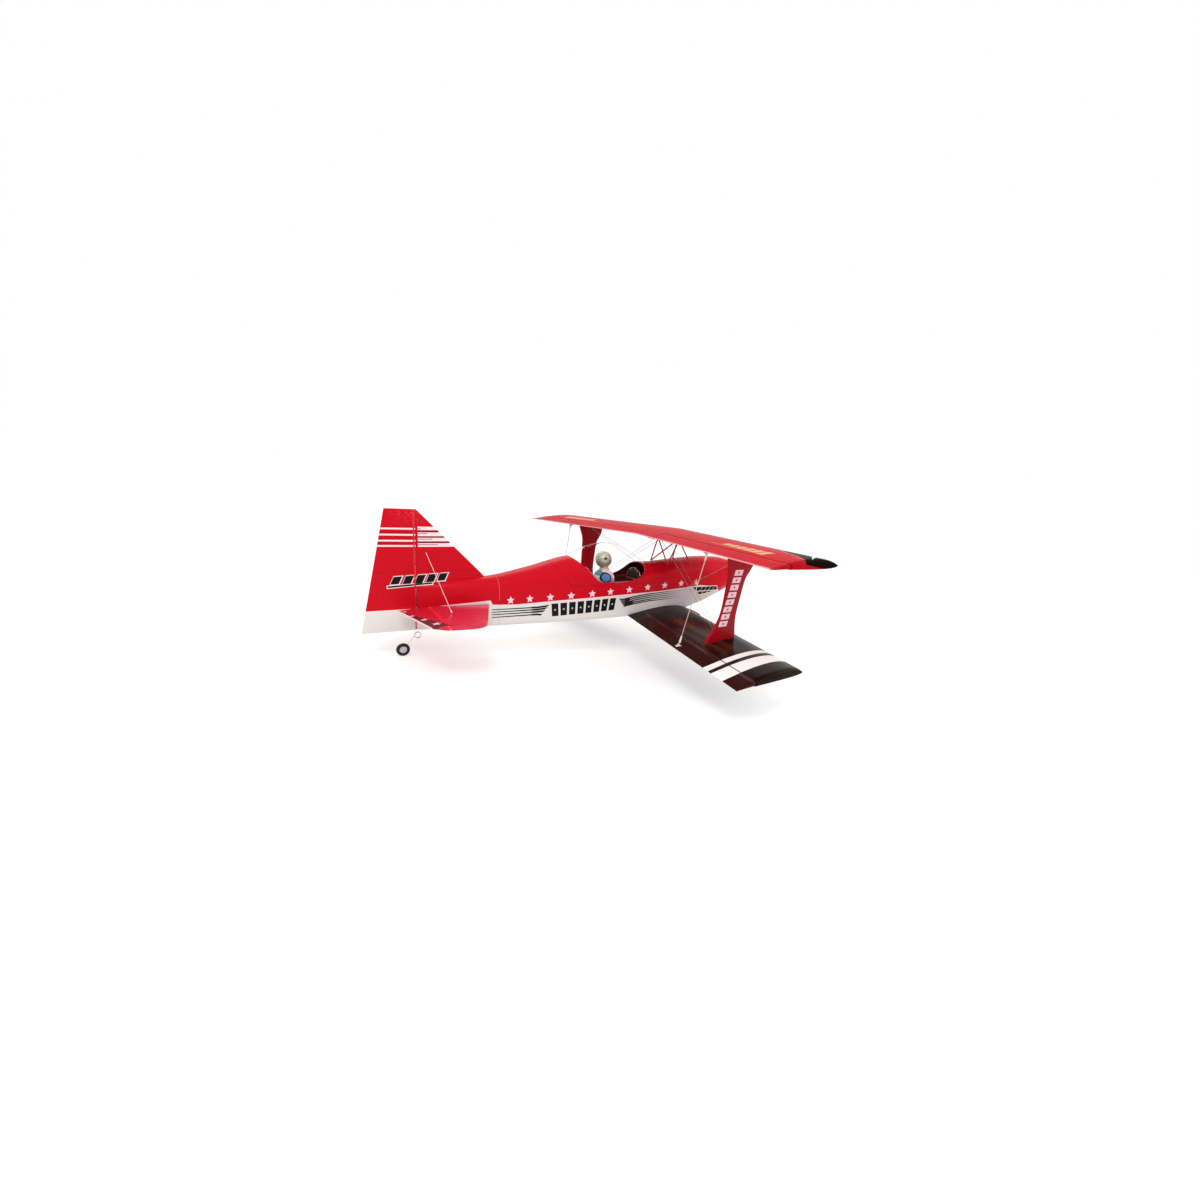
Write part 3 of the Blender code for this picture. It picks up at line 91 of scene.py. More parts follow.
# ---------------------------------------------------------------------------------------------
# Shader arithmetic
# ---------------------------------------------------------------------------------------------
class Field:
    """A number that varies over a surface, made of math nodes by ordinary arithmetic."""

    def __init__(self, tree, value):
        self.tree = tree
        self.value = value

    def node(self, operation, *others):
        node = self.tree.nodes.new("ShaderNodeMath")
        node.operation = operation
        for socket, item in zip(node.inputs, (self,) + others):
            feed(self.tree, socket, item)
        return Field(self.tree, node.outputs[0])

    def __add__(self, other):
        return self.node("ADD", other)

    def __radd__(self, other):
        return self.node("ADD", other)

    def __sub__(self, other):
        return self.node("SUBTRACT", other)

    def __rsub__(self, other):
        return Field(self.tree, other).node("SUBTRACT", self)

    def __mul__(self, other):
        return self.node("MULTIPLY", other)

    def __truediv__(self, other):
        return self.node("DIVIDE", other)

    def __neg__(self):
        return self.node("MULTIPLY", -1.0)

    def most(self, other):
        return self.node("MAXIMUM", other)

    def size(self):
        return self.node("ABSOLUTE")

    def power(self, exponent):
        return self.node("POWER", exponent)

    def root(self):
        return self.node("SQRT")

    def clamp(self):
        node = self.node("ADD", 0.0)
        node.value.node.use_clamp = True
        return node

    def inside(self, soft=0.0003):
        """One where this signed distance is positive, with an edge a fraction of a millimetre soft."""
        return (self / soft + 0.5).clamp()

    def band(self, low, high, soft=0.0003):
        return (self - low).inside(soft) * (high - self).inside(soft)

    def near(self, half, soft=0.0003):
        """One where this signed distance is within half a line's width of zero."""
        return (half - self.size()).inside(soft)


def feed(tree, socket, item):
    """Link or set one shader input."""
    if isinstance(item, Field):
        item = item.value
    if isinstance(item, bpy.types.NodeSocket):
        tree.links.new(item, socket)
    else:
        socket.default_value = item


def curve_through(tree, field, points):
    """Piecewise smooth function of a field through (input, output) points."""
    xs = [p[0] for p in points]
    ys = [p[1] for p in points]
    x0, x1, y0, y1 = min(xs), max(xs), min(ys), max(ys)
    node = tree.nodes.new("ShaderNodeFloatCurve")
    curve = node.mapping.curves[0]
    while len(curve.points) < len(points):
        curve.points.new(0.5, 0.5)
    for target, (x, y) in zip(curve.points, points):
        target.location = ((x - x0) / (x1 - x0), (y - y0) / (y1 - y0))
        target.handle_type = "VECTOR"
    node.mapping.update()
    feed(tree, node.inputs["Value"], ((field - x0) / (x1 - x0)).clamp())
    return Field(tree, node.outputs[0]) * (y1 - y0) + y0


def reach_of(u, v):
    """Distance from u = v = 0."""
    return (u * u + v * v).root()


def star(u, v, radius, waist=0.40):
    """Mask of a five-pointed star about u = v = 0 with one point towards +v."""
    angle = u.node("ARCTAN2", v).node("PINGPONG", math.pi / 5)
    reach = reach_of(u, v)
    dx = radius * waist * math.cos(math.pi / 5) - radius
    dy = radius * waist * math.sin(math.pi / 5)
    along = reach * angle.node("COSINE") - radius
    across = reach * angle.node("SINE")
    return ((across * dx - along * dy) / math.hypot(dx, dy)).inside()


def outline_mask(u, v, corners):
    """Mask of a convex outline whose corners run with the inside on their right."""
    edges = []
    for (u0, v0), (u1, v1) in zip(corners, corners[1:] + corners[:1]):
        right = (u - u0) * (v1 - v0) - (v - v0) * (u1 - u0)
        edges.append((right / math.hypot(u1 - u0, v1 - v0)).inside())
    return reduce(Field.__mul__, edges)


class Paint:
    """A Principled material whose colour is built up in layers over datum coordinates."""

    def __init__(self, name, colour, metallic=0.0, coat=0.0, specular=0.10):
        self.material = bpy.data.materials.new(name)
        self.material.use_nodes = True
        self.tree = self.material.node_tree
        self.shader = self.tree.nodes["Principled BSDF"]
        coordinates = self.tree.nodes.new("ShaderNodeTexCoord")
        mapping = self.tree.nodes.new("ShaderNodeMapping")
        mapping.inputs["Location"].default_value = TO_DATUM.translation
        mapping.inputs["Rotation"].default_value = TO_DATUM.to_euler("XYZ")
        self.tree.links.new(coordinates.outputs["Object"], mapping.inputs["Vector"])
        self.place = mapping.outputs["Vector"]
        split = self.tree.nodes.new("ShaderNodeSeparateXYZ")
        self.tree.links.new(self.place, split.inputs[0])
        self.x, self.y, self.z = [Field(self.tree, split.outputs[k]) for k in range(3)]
        self.colour = (*colour, 1.0)
        self.rough = 0.35
        self.height = None
        self.shader.inputs["Metallic"].default_value = metallic
        self.shader.inputs["Coat Weight"].default_value = coat
        self.shader.inputs["Coat Roughness"].default_value = 0.08
        self.shader.inputs["Specular IOR Level"].default_value = specular

    def noise(self, scale, detail=2.0, roughness=0.5, stretch=(1.0, 1.0, 1.0)):
        """Noise field from 0 to 1; scale is in lumps per metre."""
        node = self.tree.nodes.new("ShaderNodeTexNoise")
        node.inputs["Scale"].default_value = scale
        node.inputs["Detail"].default_value = detail
        node.inputs["Roughness"].default_value = roughness
        self.tree.links.new(self.stretched(stretch), node.inputs["Vector"])
        return Field(self.tree, node.outputs["Fac"])

    def cells(self, scale, kind="F1"):
        """Distance to the nearest of scattered points: bubbles, grains, beads."""
        node = self.tree.nodes.new("ShaderNodeTexVoronoi")
        node.feature = kind
        node.inputs["Scale"].default_value = scale
        self.tree.links.new(self.place, node.inputs["Vector"])
        return Field(self.tree, node.outputs["Distance"])

    def stretched(self, stretch):
        if stretch == (1.0, 1.0, 1.0):
            return self.place
        node = self.tree.nodes.new("ShaderNodeVectorMath")
        node.operation = "MULTIPLY"
        node.inputs[1].default_value = stretch
        self.tree.links.new(self.place, node.inputs[0])
        return node.outputs[0]

    def layer(self, colour, mask):
        """Lay a colour over what is there, where the mask is one."""
        node = self.tree.nodes.new("ShaderNodeMix")
        node.data_type = "RGBA"
        feed(self.tree, node.inputs["Factor"], mask)
        feed(self.tree, node.inputs[6], self.colour)
        feed(self.tree, node.inputs[7], (*colour, 1.0) if isinstance(colour, tuple) else colour)
        self.colour = node.outputs[2]
        return self

    def shade(self, field, low, high):
        """Multiply the colour by a value between low and high that follows a field from 0 to 1."""
        node = self.tree.nodes.new("ShaderNodeMix")
        node.data_type = "RGBA"
        node.blend_type = "MULTIPLY"
        node.inputs["Factor"].default_value = 1.0
        grey = self.tree.nodes.new("ShaderNodeCombineColor")
        for socket in grey.inputs:
            feed(self.tree, socket, field * (high - low) + low)
        feed(self.tree, node.inputs[6], self.colour)
        self.tree.links.new(grey.outputs[0], node.inputs[7])
        self.colour = node.outputs[2]
        return self

    def roughen(self, field, low, high):
        self.rough = field * (high - low) + low
        return self

    def raise_by(self, field, metres):
        """Add relief."""
        more = field * metres
        self.height = more if self.height is None else self.height + more
        return self

    def done(self):
        feed(self.tree, self.shader.inputs["Base Color"], self.colour)
        feed(self.tree, self.shader.inputs["Roughness"], self.rough)
        if self.height is not None:
            bump = self.tree.nodes.new("ShaderNodeBump")
            bump.inputs["Distance"].default_value = 1.0
            feed(self.tree, bump.inputs["Height"], self.height)
            self.tree.links.new(bump.outputs[0], self.shader.inputs["Normal"])
        return self.material


RED = (0.520, 0.0030, 0.0125)
DEEP_RED = (0.20, 0.004, 0.010)
WHITE = (0.86, 0.85, 0.84)
BODY_WHITE = (0.66, 0.63, 0.60)
PINK_WHITE = (0.86, 0.66, 0.68)
LILAC_WHITE = (0.46, 0.38, 0.44)
BLACK = (0.0085, 0.0070, 0.0085)
MAROON_BLACK = (0.0095, 0.0036, 0.0022)
CREAM = (0.62, 0.52, 0.38)


def foam_finish(paint):
    """Film or paint over moulded bead foam: faint round beads, slow ripples and uneven gloss."""
    bead = paint.cells(330.0, "SMOOTH_F1")
    ripple = paint.noise(22.0, 2.0)
    paint.raise_by(bead, -0.00002)
    paint.raise_by(ripple, 0.0009)
    paint.shade(paint.noise(9.0, 4.0, 0.6), 0.95, 1.05)
    paint.shade(paint.noise(520.0, 2.0), 0.97, 1.03)
    paint.roughen(paint.noise(60.0, 3.0), 0.20, 0.32)
    return paint


# ---------------------------------------------------------------------------------------------
# Livery
# ---------------------------------------------------------------------------------------------
BODY_LINE = [(-0.7125, 0.0368), (-0.6665, 0.0430), (-0.5630, 0.0515), (-0.5600, 0.0415), (-0.5088, 0.0402),
             (-0.4266, 0.0446), (-0.3371, 0.0478), (-0.2384, 0.0509), (-0.1316, 0.0542), (-0.0300, 0.0615),
             (0.0040, 0.0640), (0.0475, 0.0592), (0.0780, 0.0463), (0.1050, 0.0250), (0.1600, -0.0200)]
STARS = [(-0.5700, 0.0480), (-0.5203, 0.0500), (-0.4782, 0.0520), (-0.4307, 0.0538), (-0.3802, 0.0554),
         (-0.3260, 0.0575), (-0.2773, 0.0602), (-0.2234, 0.0627), (-0.1687, 0.0661), (-0.1155, 0.0690),
         (-0.0620, 0.0717), (-0.0115, 0.0729), (0.0350, 0.0760)]
STAR_STEP = 0.0508
REAR_LINES = ((0.0305, 0.0317, -0.4349, 0.0342), (0.0248, 0.0266, -0.4396, 0.0285),
              (0.0191, 0.0213, -0.4445, 0.0222), (0.0131, 0.0152, -0.4508, 0.0135))
FRONT_LINES = ((0.0488, 0.0505), (0.0443, 0.0460), (0.0396, 0.0412), (0.0345, 0.0364), (0.0304, 0.0316))


def slanted_bar(paint, x0, x1, z0, z1):
    """Parallelogram on the tail's side, with leaning ends and level long edges."""
    slant = 0.45
    ends = (paint.x - paint.z * slant).band(x0 - z0 * slant, x1 - z0 * slant)
    return ends * paint.z.band(z0, z1)


def slanted_block(paint, rear_top, rear_foot, front_top, front_foot):
    """Four-sided patch on the fuselage side between a rear edge and a front edge, points as (x, z)."""
    return outline_mask(paint.x, paint.z, (rear_foot, rear_top, front_top, front_foot))


def starred_blocks(paint):
    """Generic race mark: a row of plain slanted blocks, each with a small star left open in it."""
    rear = ((-0.4278, 0.0384), (-0.4257, 0.0083))
    front = ((-0.2603, 0.0442), (-0.2655, 0.0141))
    count, gap = 8, 0.24
    marks = []
    for k in range(count):
        corners = []
        for t in (k / (count - gap), (k + 1 - gap) / (count - gap)):
            for a, b in zip(rear, front):
                corners.append((blend(a[0], b[0], t), blend(a[1], b[1], t)))
        middle_x = sum(c[0] for c in corners) / 4
        middle_z = sum(c[1] for c in corners) / 4
        hole = star(paint.x - middle_x, paint.z - middle_z, 0.0030)
        marks.append(slanted_block(paint, *corners) * (1.0 - hole))
    return reduce(Field.most, marks)


def swoosh(paint, grow):
    """Generic racing mark on the tail, grown all round: slanted blocks over a long tapering dash."""
    x, z = paint.x, paint.z
    x0, z0, z1 = -0.7610, 0.0860, 0.1080
    length, height = 0.1170, z1 - z0
    masks = []
    for k in range(5):
        a = x0 + length * (0.04 + 0.19 * k)
        tall = height * (0.80 - 0.05 * abs(k - 2))
        masks.append(slanted_bar(paint, a - grow, a + length * 0.135 + grow, z1 - tall - grow, z1 + grow))
    taper = (x - x0) / length
    dash = x.band(x0 - grow, x0 + length * 0.72 + grow)
    dash = dash * (z - (z0 - grow) - taper.size() * height * 0.10).inside()
    masks.append(dash * (z0 + height * 0.17 + grow + taper * height * 0.06 - z).inside())
    return reduce(Field.most, masks)


def rear_lines(paint):
    """Four speed lines that swell into short bars, running from the tail moulding onto the fuselage."""
    x, z = paint.x, paint.z
    rear_x = -0.5612
    for start, middle, front_x, front_z in REAR_LINES:
        path = curve_through(paint.tree, x, [(rear_x, start), (-0.4600, middle), (front_x, front_z)])
        swell = curve_through(paint.tree, x, [(rear_x, 0.0010), (-0.4760, 0.0014), (-0.4700, 0.0021),
                                              (front_x, 0.0022)])
        ahead = (front_x + (z - front_z) * 1.4 - x).inside()
        paint.layer(BLACK, (z - path).near(swell) * (x - rear_x).inside() * ahead)


def fuselage_livery(paint):
    """Red over white with a star row, speed lines and a generic race mark."""
    x, z = paint.x, paint.z
    line = curve_through(paint.tree, x, BODY_LINE)
    below = (line - z).inside()
    paint.layer(BODY_WHITE, below)
    paint.layer(LILAC_WHITE, below * ((x + 0.150) / 0.110).clamp() * 0.75)
    paint.layer(CREAM, below * (x + 0.010).inside(0.06) * 0.65)
    edge = (z - line + 0.0009).near(0.0011, 0.0006)
    paint.layer(PINK_WHITE, edge * (x + 0.5560).inside() * 0.8)
    # Star row
    index = curve_through(paint.tree, x, [(sx, k) for k, (sx, _) in enumerate(STARS)])
    along = (index - index.node("ROUND")) * STAR_STEP
    above = z - curve_through(paint.tree, x, STARS)
    row = x.band(-0.5420, 0.0030) * (z - line).inside()
    paint.layer(DEEP_RED, star(along, above, 0.0114, 0.46) * row * 0.35)
    paint.layer((0.86, 0.58, 0.62), star(along, above, 0.0096, 0.46) * row)
    rear_lines(paint)
    # Middle mark and the staggered block with tapering lines ahead of it
    paint.layer(BLACK, starred_blocks(paint))
    rear_edge = (x + 0.2516 - (0.0413 - z) * 0.71).inside()
    block_fronts = (-0.2200, -0.2215, -0.2050, -0.2110)
    rear_x, front_x = -0.2380, -0.0630
    for k, (level_a, level_b) in enumerate(FRONT_LINES):
        start = 0.0394 - 0.0046 * k
        if k < len(block_fronts):
            bar = z.band(start - 0.0020, start + 0.0020) * rear_edge
            paint.layer(BLACK, bar * (block_fronts[k] - x).inside())
        path = curve_through(paint.tree, x, [
            (rear_x, start), (-0.2050, blend(start, level_a, 0.55)), (-0.1665, level_a),
            (-0.1290, level_b), (front_x, level_b + 0.003)])
        swell = curve_through(paint.tree, x, [(rear_x, 0.0019), (-0.1665, 0.0015), (front_x, 0.0004)])
        mask = (z - path).near(swell) * x.band(rear_x, front_x)
        paint.layer((0.020, 0.016, 0.020), mask * (1.0 - ((x + 0.110) / 0.050).clamp() * 0.6))
    # Race mark on the cowl
    real_z = paint.z
    paint.z = z + (x + 0.0230) * 0.012
    body = slanted_block(paint, (-0.0230, 0.0594), (-0.0100, 0.0490), (0.0640, 0.0596), (0.0700, 0.0490))
    foot = slanted_block(paint, (-0.0070, 0.0466), (0.0010, 0.0385), (0.0560, 0.0470), (0.0500, 0.0452))
    body_rim = slanted_block(paint, (-0.0262, 0.0610), (-0.0085, 0.0474), (0.0662, 0.0612), (0.0730, 0.0474))
    foot_rim = slanted_block(paint, (-0.0092, 0.0482), (-0.0005, 0.0368), (0.0585, 0.0486), (0.0540, 0.0440))
    paint.layer((0.80, 0.70, 0.62), body_rim.most(foot_rim))
    gaps = [(x - 0.0090 - 0.0150 * k - (z - 0.0540) * 0.9).near(0.0006) for k in range(4)]
    paint.layer(BLACK, body.most(foot) * (1.0 - reduce(Field.most, gaps)))
    paint.z = real_z
    # Joint between fuselage and tail moulding
    paint.layer((0.70, 0.16, 0.20), (x + 0.5448).near(0.0006) * (z - 0.0516).inside() * 0.8)
    return paint


def fin_livery(paint):
    """Rudder and fin: thin stripes meeting notched bars, and a generic race mark on the white foot."""
    x, z = paint.x, paint.z
    on_rudder = (-0.7070 - x).inside()
    on_fin = (x + 0.7024).inside()
    # Darker red along the hinge: the hinge strip, partly painted shade cast by the fin's edge.
    hinge_strip_and_shade = x.band(-0.7100, -0.7028, 0.0008)
    paint.layer(DEEP_RED, hinge_strip_and_shade * (z - 0.030).inside() * 0.15)
    bars = ((0.2030, 0.2005, 0.2076, -0.6955, 0.2031), (0.1908, 0.1884, 0.1960, -0.6841, 0.1934),
            (0.1788, 0.1778, 0.1850, -0.6737, 0.1823), (0.1684, 0.1664, 0.1738, -0.6633, 0.1709))
    for k, (stripe, low, high, notch_end, notch_z) in enumerate(bars):
        paint.layer(PINK_WHITE, (z - stripe).near(0.0017) * on_rudder)
        if k:
            paint.layer(DEEP_RED, z.band(stripe + 0.0024, stripe + 0.0062, 0.0010) * on_rudder * 0.35)
        bar = z.band(low, high) * on_fin
        paint.layer(PINK_WHITE, bar)
        notch = (z - notch_z).near(0.0008) * (notch_end - x).inside()
        paint.layer(DEEP_RED, bar * notch * 0.9)
        if k < 3:
            paint.layer((0.085, 0.003, 0.006), z.band(low - 0.0034, low - 0.0006, 0.0006) * on_fin * 0.85)
    shift = paint.z
    paint.z = z - (x + 0.70) * 0.05
    paint.layer((0.80, 0.66, 0.66), swoosh(paint, 0.0016))
    paint.layer(BLACK, swoosh(paint, 0.0))
    paint.z = shift
    return paint


def blend(a, b, t):
    return a + (b - a) * t


# ---------------------------------------------------------------------------------------------
# Geometry helpers: everything is drawn in the datum frame and moved into the world at the end
# ---------------------------------------------------------------------------------------------
def make_mesh(bm):
    """Mesh with outward normals, smooth except at real edges."""
    bmesh.ops.recalc_face_normals(bm, faces=bm.faces)
    mesh = bpy.data.meshes.new("shape")
    bm.to_mesh(mesh)
    bm.free()
    mesh.shade_smooth()
    mesh.set_sharp_from_angle(angle=math.radians(35))
    return mesh


def loft(rings, looped=False):
    """Closed skin through rings with equal numbers of points; looped joins the last ring to the first."""
    bm = bmesh.new()
    rows = [[bm.verts.new(point) for point in ring] for ring in rings]
    count = len(rows[0])
    pairs = list(zip(rows, rows[1:]))
    if looped:
        pairs.append((rows[-1], rows[0]))
    for low, high in pairs:
        for k in range(count):
            bm.faces.new((low[k], low[(k + 1) % count], high[(k + 1) % count], high[k]))
    if not looped:
        bm.faces.new(rows[0])
        bm.faces.new(rows[-1])
    return bm


def turned(profile, centre, axis="Y", sides=48):
    """Solid of revolution; profile points are (distance along the axis, radius)."""
    rings = []
    for k in range(sides):
        a = 2 * math.pi * k / sides
        c, s = math.cos(a), math.sin(a)
        if axis == "Y":
            rings.append([Vector(centre) + Vector((r * c, t, r * s)) for t, r in profile])
        elif axis == "X":
            rings.append([Vector(centre) + Vector((t, r * c, r * s)) for t, r in profile])
        else:
            rings.append([Vector(centre) + Vector((r * c, r * s, t)) for t, r in profile])
    bm = loft(rings, looped=True)
    bmesh.ops.remove_doubles(bm, verts=bm.verts, dist=1e-6)
    bmesh.ops.dissolve_degenerate(bm, edges=bm.edges, dist=1e-7)
    return bm


def tube(points, radius, sides=12):
    """Round rod along a path, with its frame carried smoothly from point to point."""
    points = [Vector(p) for p in points]
    tangents = []
    for k in range(len(points)):
        tangents.append((points[min(k + 1, len(points) - 1)] - points[max(k - 1, 0)]).normalized())
    side = tangents[0].orthogonal().normalized()
    rings = []
    for k, (point, tangent) in enumerate(zip(points, tangents)):
        side = (side - tangent * side.dot(tangent)).normalized()
        other = tangent.cross(side)
        r = radius[k] if isinstance(radius, (list, tuple)) else radius
        rings.append([point + (side * math.cos(a) + other * math.sin(a)) * r
                      for a in [2 * math.pi * j / sides for j in range(sides)]])
    return loft(rings)


def bar(at, radius, reach, sides, axis="Y"):
    """Straight round bar through a point, reaching the same distance to both sides along an axis."""
    way = Vector([float(axis == letter) for letter in "XYZ"]) * reach
    return tube([Vector(at) - way, Vector(at) + way], radius, sides)


def block(low, high):
    """Axis-aligned block."""
    bm = bmesh.new()
    bmesh.ops.create_cube(bm, size=1.0)
    low, high = Vector(low), Vector(high)
    bmesh.ops.scale(bm, vec=high - low, verts=bm.verts)
    bmesh.ops.translate(bm, vec=(low + high) / 2, verts=bm.verts)
    return bm


def slab(outline, low, high, axis="Y"):
    """Flat outline extruded along an axis: (x, z) for Y, (x, y) for Z, (y, z) for X."""
    def at(a, b, level):
        if axis == "Y":
            return (a, level, b)
        if axis == "Z":
            return (a, b, level)
        return (level, a, b)
    return loft([[at(a, b, low) for a, b in outline], [at(a, b, high) for a, b in outline]])


def rounded(bm, width, segments=2, angle=40):
    """Round the sharp edges of a closed shape."""
    bm.normal_update()
    edges = [e for e in bm.edges if len(e.link_faces) == 2
             and e.calc_face_angle(0.0) > math.radians(angle)]
    bmesh.ops.bevel(bm, geom=edges, offset=width, segments=segments, profile=0.5, affect="EDGES",
                    clamp_overlap=True)
    return bm


def joined(*shapes):
    """Several shapes in one mesh."""
    result = bmesh.new()
    for shape in shapes:
        mesh = bpy.data.meshes.new("part")
        bmesh.ops.recalc_face_normals(shape, faces=shape.faces)
        shape.to_mesh(mesh)
        shape.free()
        result.from_mesh(mesh)
        bpy.data.meshes.remove(mesh)
    return result


def piece(name, bm, body, material, replaces=(), in_world=False):
    """Finished object in the world, riding on its body."""
    mesh = make_mesh(bm)
    if not in_world:
        mesh.transform(DATUM)
    mesh.name = name
    mesh.materials.append(material)
    thing = bpy.data.objects.new(name, mesh)
    bpy.context.scene.collection.objects.link(thing)
    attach(thing, body)
    if replaces:
        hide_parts(*replaces)
    return thing


def cut(bm, *cutters, operation="DIFFERENCE"):
    """Boolean of closed shapes, applied at once."""
    mesh = make_mesh(bm)
    thing = bpy.data.objects.new("work", mesh)
    bpy.context.scene.collection.objects.link(thing)
    helpers = []
    for cutter in cutters:
        helper = bpy.data.objects.new("cutter", make_mesh(cutter))
        bpy.context.scene.collection.objects.link(helper)
        helpers.append(helper)
        modifier = thing.modifiers.new("cut", "BOOLEAN")
        modifier.operation = operation
        modifier.solver = "EXACT"
        modifier.object = helper
    graph = bpy.context.evaluated_depsgraph_get()
    result = bmesh.new()
    evaluated = thing.evaluated_get(graph)
    result.from_mesh(evaluated.to_mesh())
    for each in [thing] + helpers:
        bpy.data.objects.remove(each, do_unlink=True)
    return result


def body_of(node):
    return NODES[node]["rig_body"]


def refine(node, material, bevel, segments):
    """Show a CAD node through a welded copy with clean shading and rounded edges."""
    bm = bmesh.new()
    bm.from_mesh(NODES[node].data)
    bmesh.ops.remove_doubles(bm, verts=bm.verts, dist=2e-6)
    bmesh.ops.dissolve_limit(bm, angle_limit=math.radians(0.4), verts=bm.verts, edges=bm.edges)
    rounded(bm, bevel, segments)
    piece(node + "_look", bm, body_of(node), material, (node,), in_world=True)


# ---------------------------------------------------------------------------------------------
# Fuselage sections: station, half width, bottom corner radius, bottom, shoulder and top heights
# ---------------------------------------------------------------------------------------------
STATIONS = [
    (-0.7079, 0.0075, 0.0040, -0.0085, 0.055, 0.086),
    (-0.6600, 0.0195, 0.0080, -0.0085, 0.060, 0.094),
    (-0.6000, 0.0290, 0.0090, -0.0080, 0.066, 0.099),
    (-0.5450, 0.0360, 0.0100, -0.0080, 0.070, 0.1025),
    (-0.4600, 0.0460, 0.0120, -0.0080, 0.076, 0.1205),
    (-0.4100, 0.0505, 0.0120, -0.0080, 0.078, 0.1340),
    (-0.3670, 0.0535, 0.0120, -0.0080, 0.080, 0.1430),
    (-0.3100, 0.0562, 0.0120, -0.0080, 0.081, 0.1390),
    (-0.2400, 0.0570, 0.0120, -0.0080, 0.082, 0.1300),
    (-0.1400, 0.0570, 0.0120, -0.0080, 0.083, 0.1240),
    (-0.0600, 0.0570, 0.0130, -0.0040, 0.084, 0.1300),
    (-0.0150, 0.0568, 0.0180, 0.0060, 0.085, 0.1335),
    (0.0300, 0.0560, 0.0280, 0.0140, 0.085, 0.1360),
    (0.0700, 0.0535, 0.0370, 0.0240, 0.085, 0.1355),
    (0.1050, 0.0500, 0.0430, 0.0335, 0.085, 0.1330),
    (0.1300, 0.0450, 0.0400, 0.0430, 0.086, 0.1280),
    (0.1470, 0.0380, 0.0345, 0.0510, 0.0866, 0.1220),
    (0.1570, 0.0300, 0.0280, 0.0575, 0.0868, 0.1170),
]
CANOPY_CROWN = [(-0.376, 0.139), (-0.367, 0.1435), (-0.337, 0.159), (-0.2985, 0.171), (-0.262, 0.1745),
                (-0.225, 0.168), (-0.192, 0.151), (-0.165, 0.129), (-0.155, 0.124)]
DECK_POWER = 2 / 2.2
DECK_STEPS = 20


def through(rows, x):
    """Smooth interpolation through rows whose first column is x."""
    if x <= rows[0][0]:
        return rows[0][1:]
    if x >= rows[-1][0]:
        return rows[-1][1:]
    k = max(i for i in range(len(rows) - 1) if rows[i][0] <= x)
    before, here = rows[max(k - 1, 0)], rows[k]
    after, beyond = rows[k + 1], rows[min(k + 2, len(rows) - 1)]
    span = after[0] - here[0]
    t = (x - here[0]) / span
    values = []
    for c in range(1, len(here)):
        slope_in = (after[c] - before[c]) / (after[0] - before[0])
        slope_out = (beyond[c] - here[c]) / (beyond[0] - here[0])
        values.append((2 * t ** 3 - 3 * t ** 2 + 1) * here[c] + (t ** 3 - 2 * t ** 2 + t) * span * slope_in
                      + (3 * t ** 2 - 2 * t ** 3) * after[c] + (t ** 3 - t ** 2) * span * slope_out)
    return tuple(values)


def section(x, inset=0.0, crown=None):
    """Fuselage cross-section: flat bottom, round corners, straight sides and an arched deck."""
    half, corner, bottom, shoulder, peak = through(STATIONS, x)
    peak = peak if crown is None else crown
    half, bottom, peak = half - inset, bottom + inset, peak - inset
    corner = max(corner - inset, 0.002)
    side = [(0.0, bottom), ((half - corner) * 0.5, bottom)]
    for k in range(9):
        a = math.radians(-90 + 11.25 * k)
        side.append((half - corner + corner * math.cos(a), bottom + corner + corner * math.sin(a)))
    top_of_corner = bottom + corner
    for k in (1, 2, 3):
        side.append((half, blend(top_of_corner, shoulder, k / 4)))
    for k in range(DECK_STEPS + 1):
        a = math.radians(90 * k / DECK_STEPS)
        side.append((half * max(math.cos(a), 0.0) ** DECK_POWER,
                     shoulder + (peak - shoulder) * math.sin(a) ** DECK_POWER))
    side[-1] = (0.0, peak)
    return ([Vector((x, y, z)) for y, z in side]
            + [Vector((x, -y, z)) for y, z in reversed(side[1:-1])])


def spread(low, high, step):
    """Even stations that include both ends."""
    count = max(2, round((high - low) / step) + 1)
    return [blend(low, high, k / (count - 1)) for k in range(count)]


def hollow(stations, thickness, crown=None):
    """Closed tube of skin: outer loft, inner loft and both end rims."""
    outer = [section(x, 0.0, crown(x) if crown else None) for x in stations]
    inner = [section(x, thickness, crown(x) if crown else None) for x in stations]
    bm = bmesh.new()
    rows = [[bm.verts.new(p) for p in ring] for ring in outer + inner[::-1]]
    count = len(rows[0])
    for a, b in zip(rows, rows[1:] + rows[:1]):
        for k in range(count):
            bm.faces.new((a[k], a[(k + 1) % count], b[(k + 1) % count], b[k]))
    return bm


def eased(points, steps=3):
    """Catmull-Rom curve through plane points."""
    result = [tuple(points[0])]
    for k in range(len(points) - 1):
        p0, p1 = points[max(k - 1, 0)], points[k]
        p2, p3 = points[k + 1], points[min(k + 2, len(points) - 1)]
        for s in range(1, steps + 1):
            t = s / steps
            result.append(tuple(0.5 * (2 * p1[c] + (p2[c] - p0[c]) * t
                                       + (2 * p0[c] - 5 * p1[c] + 4 * p2[c] - p3[c]) * t * t
                                       + (3 * p1[c] - p0[c] - 3 * p2[c] + p3[c]) * t ** 3)
                                for c in range(len(p1))))
    return result


COCKPIT_EDGE = [(-0.368, 0.1435), (-0.342, 0.122), (-0.324, 0.1010), (-0.306, 0.0860), (-0.275, 0.0835),
                (-0.240, 0.0838), (-0.205, 0.0880), (-0.181, 0.1000), (-0.169, 0.1160), (-0.163, 0.1300)]


def cockpit_outline(shrink=0.0):
    """Side view of the cockpit opening."""
    edge = eased(COCKPIT_EDGE, 5)
    centre = Vector((-0.26, 0.16))
    edge = [tuple(Vector(p) + (centre - Vector(p)).normalized() * shrink) for p in edge]
    return [(edge[0][0], 0.24)] + edge + [(edge[-1][0], 0.24)]


